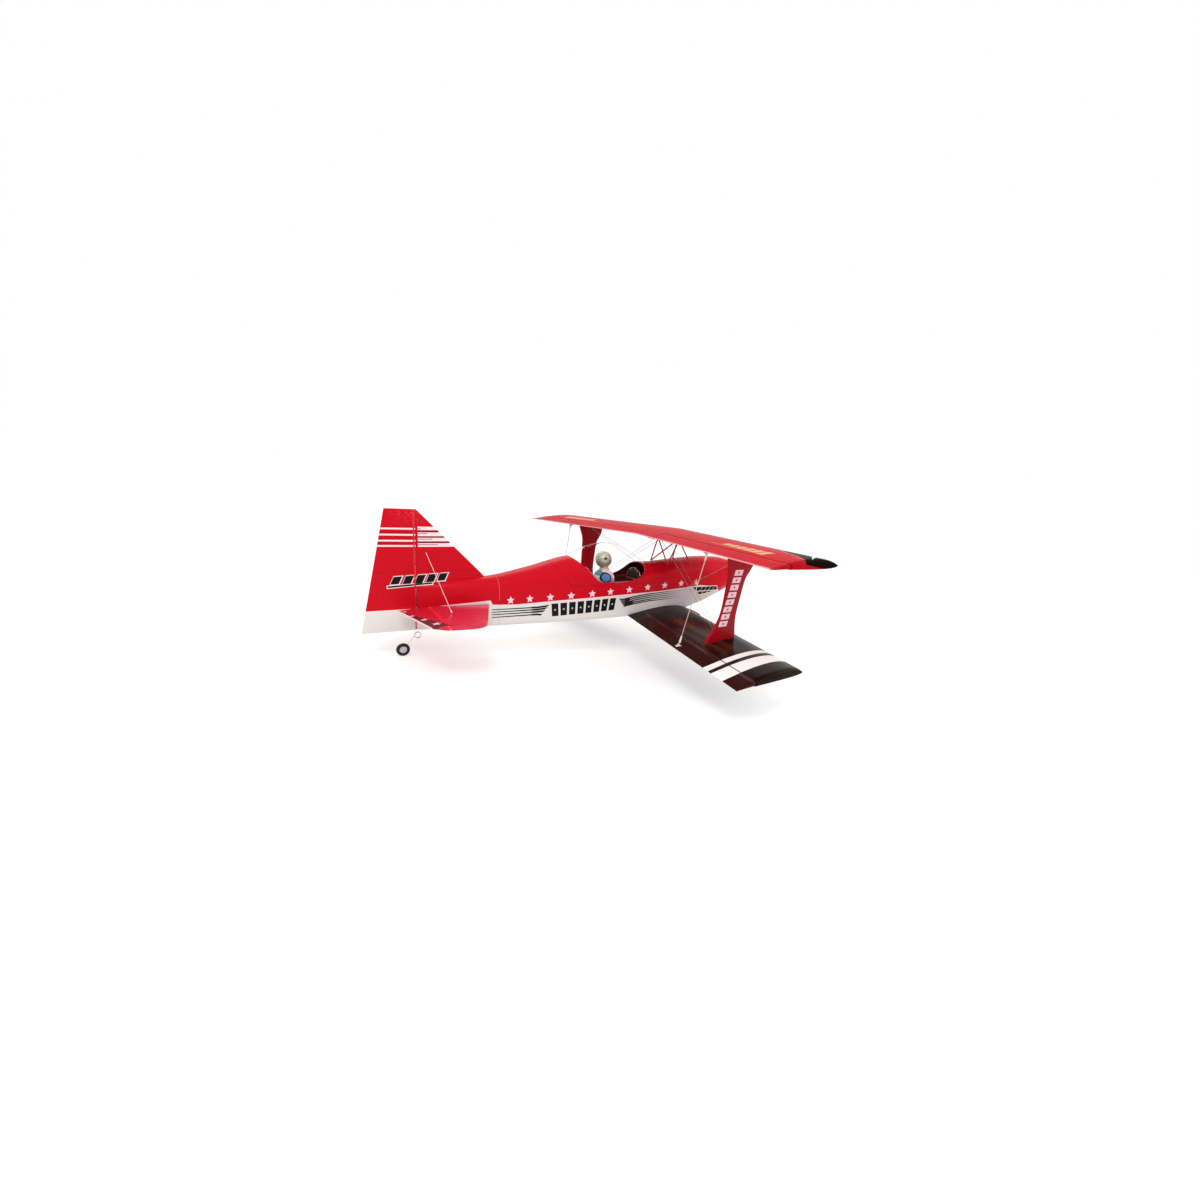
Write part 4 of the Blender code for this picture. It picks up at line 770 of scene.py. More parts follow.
def hatch_outline(grow=0.0):
    """Side view of the lift-off hatch."""
    return [(-0.5035 - grow, 0.24), (-0.3785 - grow, 0.0775 - grow), (-0.1235 + grow, 0.0775 - grow),
            (-0.1260 + grow, 0.095), (-0.1430 + grow, 0.1200), (-0.1430 + grow, 0.24)]


# ---------------------------------------------------------------------------------------------
# Wing geometry
# ---------------------------------------------------------------------------------------------
UPPER = dict(le=-0.004, chord=0.176, sweep=0.108, taper=0.0, dihedral=-0.0134, z=0.198,
             half_span=0.550, rise=0.003, twist=0.0)
LOWER = dict(le=-0.032, chord=0.186, sweep=0.136, taper=0.0238, dihedral=-0.0613, z=0.000,
             half_span=0.530, rise=0.003, twist=0.0162)
AILERON_CHORD = 0.044
LOWER_LINK_Y = 0.3010
UPPER_LINK_Y = 0.3260
LINK_OFFSET = 0.035
LINK_PIVOT = 0.0065
AILERON_INNER = 0.086
AILERON_NOSE = 0.0049
TIP_ROUNDING = 0.012
CHORD_STEPS = 34
LOWER_ROOT = 0.0576


def airfoil(x):
    """Upper and lower surface heights at a fraction of the chord."""
    half = 0.575 * (0.2969 * math.sqrt(x) - 0.126 * x - 0.3516 * x ** 2 + 0.2843 * x ** 3
                    - 0.1015 * x ** 4) + 0.0025 * x
    p, m = 0.40, 0.024
    if x < p:
        camber = m / p ** 2 * (2 * p * x - x * x)
    else:
        camber = m / (1 - p) ** 2 * ((1 - 2 * p) + 2 * p * x - x * x)
    return camber + half, camber - half


def chord_at(wing, y):
    return wing["chord"] - wing["taper"] * abs(y)


def wing_point(wing, y, fraction):
    """Point on the chord line; fraction 0 is the leading edge."""
    x = wing["le"] - wing["sweep"] * abs(y) - fraction * chord_at(wing, y)
    rise = wing["rise"] + wing["twist"] * abs(y)
    return Vector((x, y, wing["z"] + wing["dihedral"] * abs(y) + (1 - fraction) * rise))


def fullness(wing, y):
    inside = wing["half_span"] - abs(y)
    if inside >= TIP_ROUNDING:
        return 1.0
    t = 1 - max(inside, 0.0) / TIP_ROUNDING
    return 0.45 + 0.55 * math.sqrt(1 - t * t)


def surface(wing, y, fraction, top):
    """Point on a wing's skin."""
    height = airfoil(fraction)[0 if top else 1] * chord_at(wing, y) * fullness(wing, y)
    return wing_point(wing, y, fraction) + Vector((0, 0, height))


def hinge_point(wing, y):
    """Point on the aileron's straight hinge line."""
    ends = []
    for station in (0.0, wing["half_span"]):
        chord = chord_at(wing, station)
        fraction = 1 - AILERON_CHORD / chord
        upper, lower = airfoil(fraction)
        ends.append(wing_point(wing, station, fraction) + Vector((0, 0, (upper + lower) / 2 * chord)))
    point = blend(ends[0], ends[1], abs(y) / wing["half_span"])
    return Vector((point.x, y, point.z))


def wing_ring(wing, y):
    """Wing section, with its points closer together at both edges."""
    fractions = [(1 - math.cos(math.pi * k / CHORD_STEPS)) / 2 for k in range(CHORD_STEPS + 1)]
    ring = [surface(wing, y, f, True) for f in reversed(fractions)]
    return ring + [surface(wing, y, f, False) for f in fractions[1:]]


def span_stations(wing, start):
    inner = spread(start, wing["half_span"] - TIP_ROUNDING, 0.03)
    tip = [wing["half_span"] - TIP_ROUNDING * k for k in (0.85, 0.7, 0.55, 0.4, 0.28, 0.17, 0.08, 0.02, 0.0)]
    return inner + tip


def aileron_space(wing, side):
    """Room for the aileron: everything behind the hinge line and a round channel for its nose."""
    inner, outer = AILERON_INNER - 0.0004, wing["half_span"] + 0.01
    edge = [hinge_point(wing, y).x + 0.0010 for y in (inner, outer)]
    outline = [(edge[0], side * inner), (edge[1], side * outer), (edge[1] - 0.08, side * outer),
               (edge[0] - 0.08, side * inner)]
    return slab(outline, wing["z"] - 0.07, wing["z"] + 0.05, "Z")


def nose_channel(wing, side):
    """Round channel along the hinge line, under the lips of the wing's skin."""
    inner, outer = AILERON_INNER - 0.0003, wing["half_span"] + 0.012
    ends = [hinge_point(wing, side * inner), hinge_point(wing, side * outer)]
    return tube(ends, AILERON_NOSE + 0.0003, 31)


def aileron_ring(wing, y, nose):
    """Aileron section: round nose about the hinge line and straight sides to the trailing edge."""
    centre = hinge_point(wing, y)
    tail = wing_point(wing, y, 1.0)
    aft = (tail - centre).normalized()
    up = Vector((0, 0, 1))
    ring = [centre - aft * nose * math.cos(a) + up * nose * math.sin(a)
            for a in [math.radians(-90 + 15 * k) for k in range(13)]]
    full = nose * 1.12
    for t in (0.03, 0.25, 0.5, 0.75):
        ring.append(blend(centre + up * full, tail + up * 0.0007, t))
    ring += [tail + up * 0.0007, tail - up * 0.0007]
    for t in (0.25, 0.5, 0.75, 0.97):
        ring.append(blend(tail - up * 0.0007, centre - up * full, t))
    return ring


TIP_LINE = [(0.360, 0.000), (0.400, 0.018), (0.4546, 0.0566), (0.5012, 0.0691), (0.5491, 0.0912)]


def upper_wing_paint():
    """Red upper wing with a dark swept patch at each tip, pale edging, a painted highlight along the trailing
    edge and a generic race mark.
    """
    paint = Paint("upper_wing_film", (0.500, 0.0090, 0.0180), coat=0.0, specular=0.004)
    x, y, z = paint.x, paint.y, paint.z
    span = y.size()
    behind = (UPPER["le"] - span * UPPER["sweep"]) - x
    height = z - UPPER["z"] - span * UPPER["dihedral"]
    line = curve_through(paint.tree, span, TIP_LINE)
    beyond = (span - 0.360).inside()
    upper_side = (height - 0.0004).inside()
    end_face = (span - 0.5405).inside()
    slanted = (height + 0.0040 - (behind - 0.030) * 0.18).inside()
    dark = (line - behind).inside() * beyond * (upper_side * (1.0 - end_face) + slanted * end_face)
    paint.layer(MAROON_BLACK, dark)
    edging = (behind - line - 0.0005).near(0.0006) * beyond * (0.540 - span).inside()
    paint.layer(PINK_WHITE, edging * 0.6)
    paint.layer((0.64, 0.030, 0.045), (behind - line - 0.001).band(0.0, 0.010, 0.004) * beyond * 0.5)
    # Pale leaf-shaped patch within the dark tip
    leaf = curve_through(paint.tree, span, [(0.4640, 0.0150), (0.5050, 0.0208), (0.5450, 0.0700)])
    wide = curve_through(paint.tree, span, [(0.4640, 0.0), (0.5000, 0.0070), (0.5300, 0.0050), (0.5450, 0.0)])
    paint.layer((0.66, 0.70, 0.60), (behind - leaf).near(wide) * span.band(0.4640, 0.5450))
    # Generic mark on the upper surface near each tip: slanted blocks along a thin line
    top = (height - 0.004).inside()
    gold = (0.70, 0.42, 0.22)
    for k in range(6):
        a = 0.3080 + 0.0262 * k
        leaned = span + (behind - 0.0918) * 0.30
        mark = leaned.band(a, a + 0.0205) * behind.band(0.0925 - 0.0006 * k, 0.1090 + 0.0018 * k) * top
        paint.layer(gold, mark * 0.85)
    lower = behind.band(0.1130, 0.1146) * span.band(0.2639, 0.4500)
    paint.layer(gold, lower * top * 0.8)
    # Painted highlight: a pink line along the trailing edge.
    edge = (behind - (UPPER["chord"] - 0.0028)).inside(0.0008)
    paint.layer((0.86, 0.34, 0.36), edge * 0.8)
    paint.layer((0.30, 0.004, 0.010), (span - 0.5405).inside(0.0010) * (1.0 - dark) * 0.7)
    foam_finish(paint)
    return paint.done()


def lower_wing_paint():
    """Black-brown lower wing with two white bands near each tip; a painted maroon reflection on the ailerons,
    painted warm and olive glints, and hinge tape lightened by a painted highlight.
    """
    paint = Paint("lower_wing_film", MAROON_BLACK, coat=0.01, specular=0.05)
    x, y = paint.x, paint.y
    span = y.size()
    behind = (LOWER["le"] - span * LOWER["sweep"]) - x
    chord = span * -LOWER["taper"] + LOWER["chord"]
    aft = behind / chord
    hinge = (chord - AILERON_CHORD) / chord
    # Painted reflection: a dark maroon cast over the ailerons, the red above mirrored in the film.
    aileron = (aft - hinge).inside(0.004) * (span - AILERON_INNER).inside()
    paint.layer((0.042, 0.009, 0.008), aileron * 0.6)
    # Painted reflection: warm brown glints streaked along the span around the hinge line.
    glint_streak = paint.noise(30.0, 4.0, 0.6, (1.0, 0.12, 1.0))
    painted_glint = ((glint_streak - 0.44) * 5.0).clamp() * aft.band(0.42, 0.74, 0.10) * span.band(0.15, 0.40, 0.05)
    paint.layer((0.110, 0.030, 0.012), painted_glint * 0.8)
    # Painted reflection: olive-brown glints near each tip, towards the leading edge.
    olive = span.band(0.495, 0.528, 0.012) * aft.band(-0.05, 0.35, 0.15)
    paint.layer((0.050, 0.036, 0.018), olive * 0.4)
    # Hinge tape along the hinge line, lightened to reddish brown by a painted highlight.
    paint.layer((0.130, 0.020, 0.014), (aft - hinge).near(0.012, 0.006) * 0.6)
    paint.layer(WHITE, span.band(0.4200 - aft * 0.0043, 0.4365 - aft * 0.0026))
    paint.layer(WHITE, span.band(0.4520 - aft * 0.0065, 0.4860 - aft * 0.0024))
    paint.layer((0.060, 0.018, 0.012), (aft - hinge).near(0.0085, 0.004) * 0.75)
    foam_finish(paint)
    paint.roughen(paint.noise(45.0, 3.0), 0.16, 0.30)
    return paint.done()


def build_wings():
    """Upper wing, lower panels and the four ailerons."""
    upper_film, lower_film = upper_wing_paint(), lower_wing_paint()
    half = span_stations(UPPER, 0.0)
    stations = [-y for y in reversed(half[1:])] + half
    wing = loft([wing_ring(UPPER, y) for y in stations])
    wing = cut(wing, aileron_space(UPPER, 1), aileron_space(UPPER, -1),
               nose_channel(UPPER, 1), nose_channel(UPPER, -1))
    piece("upper_wing_skin", wing, "airframe", upper_film, ("upper_wing",))
    for side, label in ((1, "left"), (-1, "right")):
        panel = loft([wing_ring(LOWER, -y) for y in span_stations(LOWER, LOWER_ROOT)])
        middle = middle_of("aileron_servo_right")
        pocket = block(middle - Vector((0.0172, 0.0085, 0.009)), middle + Vector((0.0172, 0.0085, 0.0060)))
        panel = cut(panel, aileron_space(LOWER, -1), nose_channel(LOWER, -1), pocket)
        for vertex in panel.verts:
            vertex.co.y *= -side
        piece(f"lower_wing_skin_{label}", panel, "airframe", lower_film, (f"lower_wing_{label}",))
        for wing_dims, word, film in ((UPPER, "upper", upper_film), (LOWER, "lower", lower_film)):
            build_aileron(wing_dims, side, f"{word}_aileron_{label}", film)


def build_aileron(wing, side, node, film):
    """Aileron skin with its horns."""
    outer = wing["half_span"] - 0.0005
    rings = []
    for y in spread(AILERON_INNER, outer - TIP_ROUNDING, 0.04):
        rings.append(aileron_ring(wing, side * y, AILERON_NOSE))
    for t in (0.8, 0.6, 0.42, 0.26, 0.13, 0.04, 0.0):
        y = outer - TIP_ROUNDING * t
        nose = AILERON_NOSE * (0.45 + 0.55 * math.sqrt(max(1 - (1 - t) ** 2, 0.0)))
        rings.append(aileron_ring(wing, side * y, nose))
    piece(node + "_skin", loft(rings), body_of(node), film, (node,))
    nylon = FINISH["nylon"]
    link_y = side * (LOWER_LINK_Y if wing is LOWER else UPPER_LINK_Y)
    way = 1 if wing is LOWER else -1
    lug = blend(hinge_point(wing, link_y), wing_point(wing, link_y, 1.0), LINK_OFFSET / AILERON_CHORD)
    outline = [(lug.x - 0.0052, lug.z), (lug.x + 0.0052, lug.z), (lug.x + 0.0030, lug.z + way * 0.0062),
               (lug.x + 0.0014, lug.z + way * 0.0088), (lug.x - 0.0014, lug.z + way * 0.0088),
               (lug.x - 0.0030, lug.z + way * 0.0062)]
    horn = rounded(slab(outline, lug.y - 0.0008, lug.y + 0.0008), 0.0002, 1)
    foot = rounded(block((lug.x - 0.0065, lug.y - 0.0036, lug.z + way * 0.0030),
                         (lug.x + 0.0065, lug.y + 0.0036, lug.z + way * 0.0044)), 0.0004, 2)
    shapes = [horn, foot]
    if wing is LOWER:
        horn_at = hinge_point(wing, side * AILERON_HORN_Y)
        outline = [(horn_at.x + 0.0035, horn_at.z - 0.002), (horn_at.x - 0.012, horn_at.z - 0.002),
                   (horn_at.x - 0.0025, horn_at.z - 0.0165), (horn_at.x + 0.0025, horn_at.z - 0.0165)]
        shapes.append(rounded(slab(outline, horn_at.y - 0.0008, horn_at.y + 0.0008), 0.0002, 1))
    piece(node + "_horns", joined(*shapes), body_of(node), nylon)


# ---------------------------------------------------------------------------------------------
# Common finishes
# ---------------------------------------------------------------------------------------------
def simple_finish(name, colour, rough, metallic=0.0, coat=0.0, grain=400.0, relief=0.00003, vary=0.08,
                  stretch=(1.0, 1.0, 1.0)):
    """Plain material with grain, slow colour variation and uneven gloss."""
    paint = Paint(name, colour, metallic=metallic, coat=coat)
    grain_field = paint.noise(grain, 4.0, 0.6, stretch)
    paint.raise_by(grain_field, relief)
    paint.shade(paint.noise(grain / 9, 3.0, 0.5, stretch), 1.0 - vary, 1.0 + vary)
    paint.roughen(grain_field, rough * 0.8, rough * 1.25)
    return paint.done()


def film_paint(name, livery, coat=0.0, specular=0.06):
    """Red film over foam, with a livery on top."""
    paint = Paint(name, RED, coat=coat, specular=specular)
    livery(paint)
    foam_finish(paint)
    return paint.done()


def tyre_paint(name, centre, radius):
    """Foam rubber with a scuffed tread."""
    paint = Paint(name, (0.020, 0.020, 0.022))
    x, z = paint.x - centre[0], paint.z - centre[2]
    worn = (reach_of(x, z) - radius * 0.94).inside(radius * 0.05)
    paint.layer((0.055, 0.053, 0.050), worn * paint.noise(300.0, 4.0, 0.7))
    paint.shade(paint.noise(900.0, 2.0), 0.75, 1.2)
    paint.raise_by(paint.cells(1400.0), 0.00006)
    paint.roughen(paint.noise(200.0, 3.0), 0.65, 0.92)
    return paint.done()


def plywood_paint():
    """Birch plywood with grain along the sheet."""
    paint = Paint("birch_plywood", (0.56, 0.38, 0.20))
    grain = paint.noise(60.0, 5.0, 0.6, (6.0, 1.0, 0.35))
    paint.layer((0.36, 0.21, 0.10), ((grain - 0.5) * 5.0).clamp() * 0.6)
    paint.raise_by(grain, 0.0001)
    paint.roughen(grain, 0.5, 0.75)
    return paint.done()


FINISH = {
    "nylon": simple_finish("white_nylon", (0.70, 0.69, 0.67), 0.42),
    "steel": simple_finish("bright_wire", (0.62, 0.63, 0.66), 0.24, 1.0, grain=900.0,
                           stretch=(0.2, 1.0, 1.0)),
    "dark_wire": simple_finish("rigging_wire", (0.34, 0.29, 0.25), 0.34, 0.7, grain=900.0),
    "dull_rod": simple_finish("dull_rod", (0.50, 0.44, 0.38), 0.34, 0.6, grain=900.0),
    "aluminium": simple_finish("turned_aluminium", (0.42, 0.43, 0.46), 0.28, 1.0, grain=700.0,
                               stretch=(6.0, 1.0, 1.0)),
    "black_plastic": simple_finish("black_plastic", (0.016, 0.016, 0.018), 0.42, grain=700.0),
    "grey_plastic": simple_finish("grey_plastic", (0.52, 0.52, 0.56), 0.38, coat=0.2),
    "cockpit": simple_finish("cockpit_brown", (0.075, 0.012, 0.012), 0.40, coat=0.25, grain=160.0,
                             relief=0.0002, vary=0.25),
    "beige": simple_finish("beige_trim", (0.34, 0.24, 0.15), 0.45),
    "wood": plywood_paint(),
    "sleeve": simple_finish("blue_sleeve", (0.020, 0.090, 0.380), 0.25, coat=0.5, grain=120.0,
                            relief=0.0002),
    "white_gloss": simple_finish("white_gloss", WHITE, 0.22, coat=0.6, grain=60.0, relief=0.00008),
}


# ---------------------------------------------------------------------------------------------
# Fuselage, hatch, cowl and canopy
# ---------------------------------------------------------------------------------------------
def canopy_crown(x):
    return through(CANOPY_CROWN, x)[0]


def screw(centre, axis):
    """Domed screw head with a cross recess, standing on a surface."""
    radius, height = 0.0014, 0.0007
    profile = [(0.0, 0.0), (0.0, radius), (height * 0.5, radius * 0.94), (height * 0.85, radius * 0.7),
               (height, radius * 0.35), (height, 0.0)]
    head = turned(profile, (0, 0, 0), "Z", 20)
    slot_a = block((-radius * 0.6, -radius * 0.13, height * 0.45), (radius * 0.6, radius * 0.13, 0.01))
    slot_b = block((-radius * 0.13, -radius * 0.6, height * 0.45), (radius * 0.13, radius * 0.6, 0.01))
    head = cut(head, slot_a, slot_b)
    turn = Vector((0, 0, 1)).rotation_difference(Vector(axis)).to_matrix().to_4x4()
    head.transform(Matrix.Translation(Vector(centre)) @ turn)
    return head


def build_fuselage():
    """Fuselage skin, hatch, cowl with its screws, canopy and cockpit."""
    paint = film_paint("fuselage_film", fuselage_livery)
    nose = -0.015
    shell = hollow(spread(-0.545, nose, 0.011), 0.0025)
    joiner = bar((-0.100, 0, 0.0020), 0.0044, 0.08, 24)
    windows = []
    for label in ("rudder", "elevator"):
        middle = middle_of(f"{label}_servo")
        windows.append(block((middle.x - 0.0119, 0.0230, middle.z - 0.0064),
                             (middle.x + 0.0119, 0.0650, middle.z + 0.0064)))
    shell = cut(shell, slab(hatch_outline(0.0004), -0.09, 0.09), joiner, *windows)
    piece("fuselage_skin", shell, "airframe", paint, ("fuselage_shell",))

    frame_skin = hollow(spread(-0.45, -0.11, 0.0075), 0.0020)
    frame_skin = cut(frame_skin, slab(hatch_outline(), -0.09, 0.09), operation="INTERSECT")
    frame_skin = cut(frame_skin, slab(cockpit_outline(), -0.09, 0.09))
    piece("hatch_skin", frame_skin, "hatch_unit", paint, ("hatch_frame",))

    stations = [nose + 0.0004] + spread(-0.008, 0.130, 0.009)
    cowl = hollow(stations + [0.137, 0.143, 0.148, 0.152, 0.155, 0.1565, 0.157], 0.0018)
    piece("cowl_skin", cowl, "airframe", paint, ("cowl",))

    build_canopy()
    screws = []
    screw_x = -0.009
    half = through(STATIONS, screw_x)[0]
    for side in (-1, 1):
        for z in (0.066, 0.034):
            screws.append(screw((screw_x, side * half, z), (0, side, 0)))
    piece("cowl_screws", joined(*screws), "airframe", FINISH["steel"])
    build_cockpit()


def build_canopy():
    """Clear bubble with a faint painted red reflection behind the pilot."""
    clear = Paint("canopy_clear", (0.99, 0.985, 0.98), specular=0.35)
    # Painted reflection: faint pink over the rear of the bubble, behind the pilot.
    border = clear.x + 0.3215 - (clear.z - 0.145) * 0.12
    rear_reflection = (-border).inside(0.004)
    clear.layer((0.95, 0.80, 0.78), rear_reflection * 0.35)
    clear.shade(clear.noise(30.0, 2.0), 0.985, 1.0)
    clear.roughen(clear.noise(50.0, 2.0), 0.0, 0.012)
    clear.shader.inputs["Transmission Weight"].default_value = 1.0
    clear.shader.inputs["IOR"].default_value = 1.02
    x0, x1 = CANOPY_CROWN[0][0], CANOPY_CROWN[-1][0]
    bubble = hollow(spread(x0, x1, 0.0042), 0.0010, canopy_crown)
    bubble = cut(bubble, slab(cockpit_outline(0.0005), -0.09, 0.09), operation="INTERSECT")
    piece("canopy_bubble", bubble, "hatch_unit", clear.done(), ("canopy",))


def build_cockpit():
    """Tub, dark lining under the deck, instrument panel with dials, and the pilot."""
    brown = FINISH["cockpit"]
    refine("cockpit_tub", brown, 0.0006, 2)
    rings = []
    for x in spread(-0.372, -0.146, 0.008):
        ring = section(x, 0.0024, None)
        upper = [p for p in ring if p.z > 0.079]
        rings.append(sorted([p for p in upper if p.y > 0], key=lambda p: (p.z, -p.y))
                     + sorted([p for p in upper if p.y <= 0], key=lambda p: (-p.z, p.y)))
    count = min(len(r) for r in rings)
    rings = [r[:count] for r in rings]
    inner = [[Vector((p.x, p.y * 0.985, p.z - 0.0007)) for p in r] for r in rings]
    bm = bmesh.new()
    grid_a = [[bm.verts.new(p) for p in r] for r in rings]
    grid_b = [[bm.verts.new(p) for p in r] for r in inner]
    for grid in (grid_a, grid_b):
        for a, b in zip(grid, grid[1:]):
            for k in range(count - 1):
                bm.faces.new((a[k], a[k + 1], b[k + 1], b[k]))
    for a, b in ((grid_a[0], grid_b[0]), (grid_a[-1], grid_b[-1])):
        for k in range(count - 1):
            bm.faces.new((a[k], a[k + 1], b[k + 1], b[k]))
    for edge in (0, count - 1):
        for k in range(len(grid_a) - 1):
            bm.faces.new((grid_a[k][edge], grid_a[k + 1][edge], grid_b[k + 1][edge], grid_b[k][edge]))
    lined = cut(bm, slab(cockpit_outline(), -0.09, 0.09))
    piece("cockpit_lining", lined, "hatch_unit", brown)
    # Instrument panel: olive face, pale rim and sill bar, bezel rings
    arch = [(0.0355, 0.085), (0.0255, 0.1012), (0.0, 0.1090), (-0.0255, 0.1012), (-0.0355, 0.085)]
    rim = eased(arch, 6)
    outline = [(y, z - 0.0006) for y, z in rim] + [(-0.0350, 0.0640), (0.0350, 0.0640)]
    face = slab(outline, -0.1767, -0.1762, "X")
    olive = simple_finish("panel_olive", (0.045, 0.026, 0.014), 0.45, coat=0.1, grain=240.0, vary=0.2)
    piece("panel_face", face, "hatch_unit", olive)
    trims = [tube([(-0.1772, y, z - 0.0004) for y, z in rim], 0.0009, 10),
             tube([(-0.1775, y, 0.0792) for y in spread(-0.034, 0.034, 0.01)], 0.0008, 10)]
    piece("panel_trim", joined(*trims), "hatch_unit", FINISH["beige"])
    dials = []
    for y, z, r in ((-0.018, 0.0895, 0.0055), (0.0, 0.0945, 0.0062), (0.018, 0.0895, 0.0055)):
        profile = [(-0.1765, r * 0.86), (-0.1774, r * 0.90), (-0.1776, r), (-0.1770, r * 1.06),
                   (-0.1765, r * 1.06)]
        dials.append(turned(profile, (0, y, z), "X", 32))
    piece("dial_bezels", joined(*dials), "hatch_unit", FINISH["black_plastic"])
    build_pilot()


def build_pilot():
    """Doll-like bust: ball head with dot eyes, teal collar, white shoulders with blue patches."""
    silver = Paint("pilot_silver", (0.42, 0.38, 0.29), metallic=0.35, coat=0.25)
    centre = Vector((-0.2692, 0.0, 0.1320))
    x, y, z = silver.x - centre.x, silver.y, silver.z - centre.z
    # Painted highlight: the head lighter towards its top.
    silver.layer((0.54, 0.50, 0.42), ((z + 0.004) / 0.02).clamp() * 0.5)
    for eye, size in ((Vector((-0.231, -0.949, 0.235)), 0.0034), (Vector((0.389, -0.922, -0.017)), 0.0025)):
        at = eye.normalized() * 0.0208
        dot = ((x - at.x) * (x - at.x) + (y - at.y) * (y - at.y) + (z - at.z) * (z - at.z)).root()
        silver.layer((0.030, 0.008, 0.008), (size - dot).inside(0.0008))
    silver.shade(silver.noise(80.0, 3.0), 0.93, 1.06)
    silver.raise_by(silver.noise(220.0, 3.0), 0.00008)
    silver.roughen(silver.noise(120.0, 2.0), 0.22, 0.36)
    head_material = silver.done()

    bm = bmesh.new()
    bmesh.ops.create_icosphere(bm, subdivisions=5, radius=0.0209)
    for v in bm.verts:
        d = v.co.normalized()
        v.co.z *= 1.0 + 0.02 * d.z
        nose = max(0.0, d.dot(Vector((0.08, -0.97, -0.16)).normalized()))
        v.co += d * 0.0007 * nose ** 60
    bmesh.ops.translate(bm, vec=centre, verts=bm.verts)
    piece("pilot_head", bm, "hatch_unit", head_material, ("pilot",))

    suit = Paint("pilot_suit", (0.80, 0.76, 0.76), coat=0.1)
    x, y, z = suit.x, suit.y, suit.z
    suit.layer((0.74, 0.48, 0.46), (z - 0.1060).inside(0.0010))
    suit.layer((0.10, 0.30, 0.30), (-0.2780 - x).inside(0.0015) * z.band(0.0935, 0.1065, 0.001))
    ring = reach_of(x + 0.2745, z - 0.0895)
    flank = (y.size() - 0.016).inside(0.001)
    suit.layer((0.84, 0.56, 0.60), ring.band(0.0132, 0.0185, 0.0006) * flank * 0.8)
    suit.layer((0.03, 0.025, 0.03), ring.band(0.0092, 0.0132, 0.0006) * flank)
    suit.layer((0.10, 0.26, 0.62), (0.0092 - ring).inside(0.0006) * flank)
    suit.shade(suit.noise(60.0, 4.0), 0.90, 1.08)
    suit.raise_by(suit.noise(90.0, 4.0), 0.0004)
    suit.roughen(suit.noise(70.0, 2.0), 0.38, 0.60)
    levels = eased([(0.0628, 0.0215, 0.0250), (0.072, 0.0235, 0.0290), (0.083, 0.0240, 0.0310),
                    (0.093, 0.0220, 0.0305), (0.101, 0.0170, 0.0240), (0.1065, 0.0120, 0.0150),
                    (0.1115, 0.0098, 0.0110), (0.1160, 0.0092, 0.0100)], 4)
    rings = []
    for level, length, width in levels:
        ring = []
        for k in range(48):
            a = 2 * math.pi * k / 48
            c, s = math.cos(a), math.sin(a)
            swell = 1 + 0.05 * math.cos(2 * a) * (1 if level < 0.1 else 0)
            ring.append(Vector((-0.266 + length * math.copysign(abs(c) ** 0.9, c) * swell,
                                width * math.copysign(abs(s) ** 0.9, s), level)))
        rings.append(ring)
    body = loft(rings)
    profile = [(-0.0014, 0.0100), (-0.0008, 0.0122), (0.0006, 0.0126), (0.0018, 0.0112), (0.0016, 0.0096)]
    collar = turned(profile, (-0.2665, 0, 0.1095), "Z", 40)
    piece("pilot_bust", joined(body, collar), "hatch_unit", suit.done())


# ---------------------------------------------------------------------------------------------
# Tail
# ---------------------------------------------------------------------------------------------
FIN_TOP = 0.2424
RUDDER_BOTTOM = -0.0085
RUDDER_NOSE = 0.0040
ELEVATOR_HINGE_X = -0.690
ELEVATOR_NOSE = 0.0043
STAB_Z = 0.0386
STAB_THICKNESS = 0.0088
BRACE_TOP = Vector((-0.6880, 0.0, 0.1550))
BRACE_FOOT = Vector((-0.6600, 0.0930, 0.0442))
RUDDER_HORN_Z = 0.078
ELEVATOR_HORN_Y = 0.0470
HORN_LENGTH = 0.014
TAIL_STARS = [(-0.7372, 0.0375, 0.0052), (-0.7313, 0.0769, 0.0066), (-0.7169, 0.1166, 0.0082),
              (-0.7039, 0.1584, 0.0098)]


def control_ring(hinge, tail, up, radius, edge, squeeze=1.0):
    """Section of a hinged surface: round nose about the hinge, straight sides, blunt trailing edge."""
    hinge, tail = Vector(hinge), Vector(tail)
    aft = (tail - hinge).normalized()
    radius, edge = radius * squeeze, edge * squeeze
    ring = [hinge - aft * radius * math.cos(a) + up * radius * math.sin(a)
            for a in [math.radians(-90 + 15 * k) for k in range(13)]]
    for t in (0.2, 0.4, 0.6, 0.8):
        ring.append(blend(hinge + up * radius, tail + up * edge, t))
    ring += [tail + up * edge, tail - up * edge]
    for t in (0.2, 0.4, 0.6, 0.8):
        ring.append(blend(tail - up * edge, hinge - up * radius, t))
    return ring


def hinged_surface(first, last, up, radius, edge, count):
    """Control surface between two (hinge point, tail point) ends, with soft end faces."""
    soft = 0.0016
    length = (Vector(last[0]) - Vector(first[0])).length
    rows = [(0.0, 0.62), (soft * 0.25 / length, 0.84), (soft / length, 1.0)]
    rows += [(k / count, 1.0) for k in range(1, count)]
    rows += [(1 - soft / length, 1.0), (1 - soft * 0.25 / length, 0.84), (1.0, 0.62)]
    return loft([control_ring(blend(Vector(first[0]), Vector(last[0]), t),
                              blend(Vector(first[1]), Vector(last[1]), t), up, radius, edge, squeeze)
                 for t, squeeze in rows])


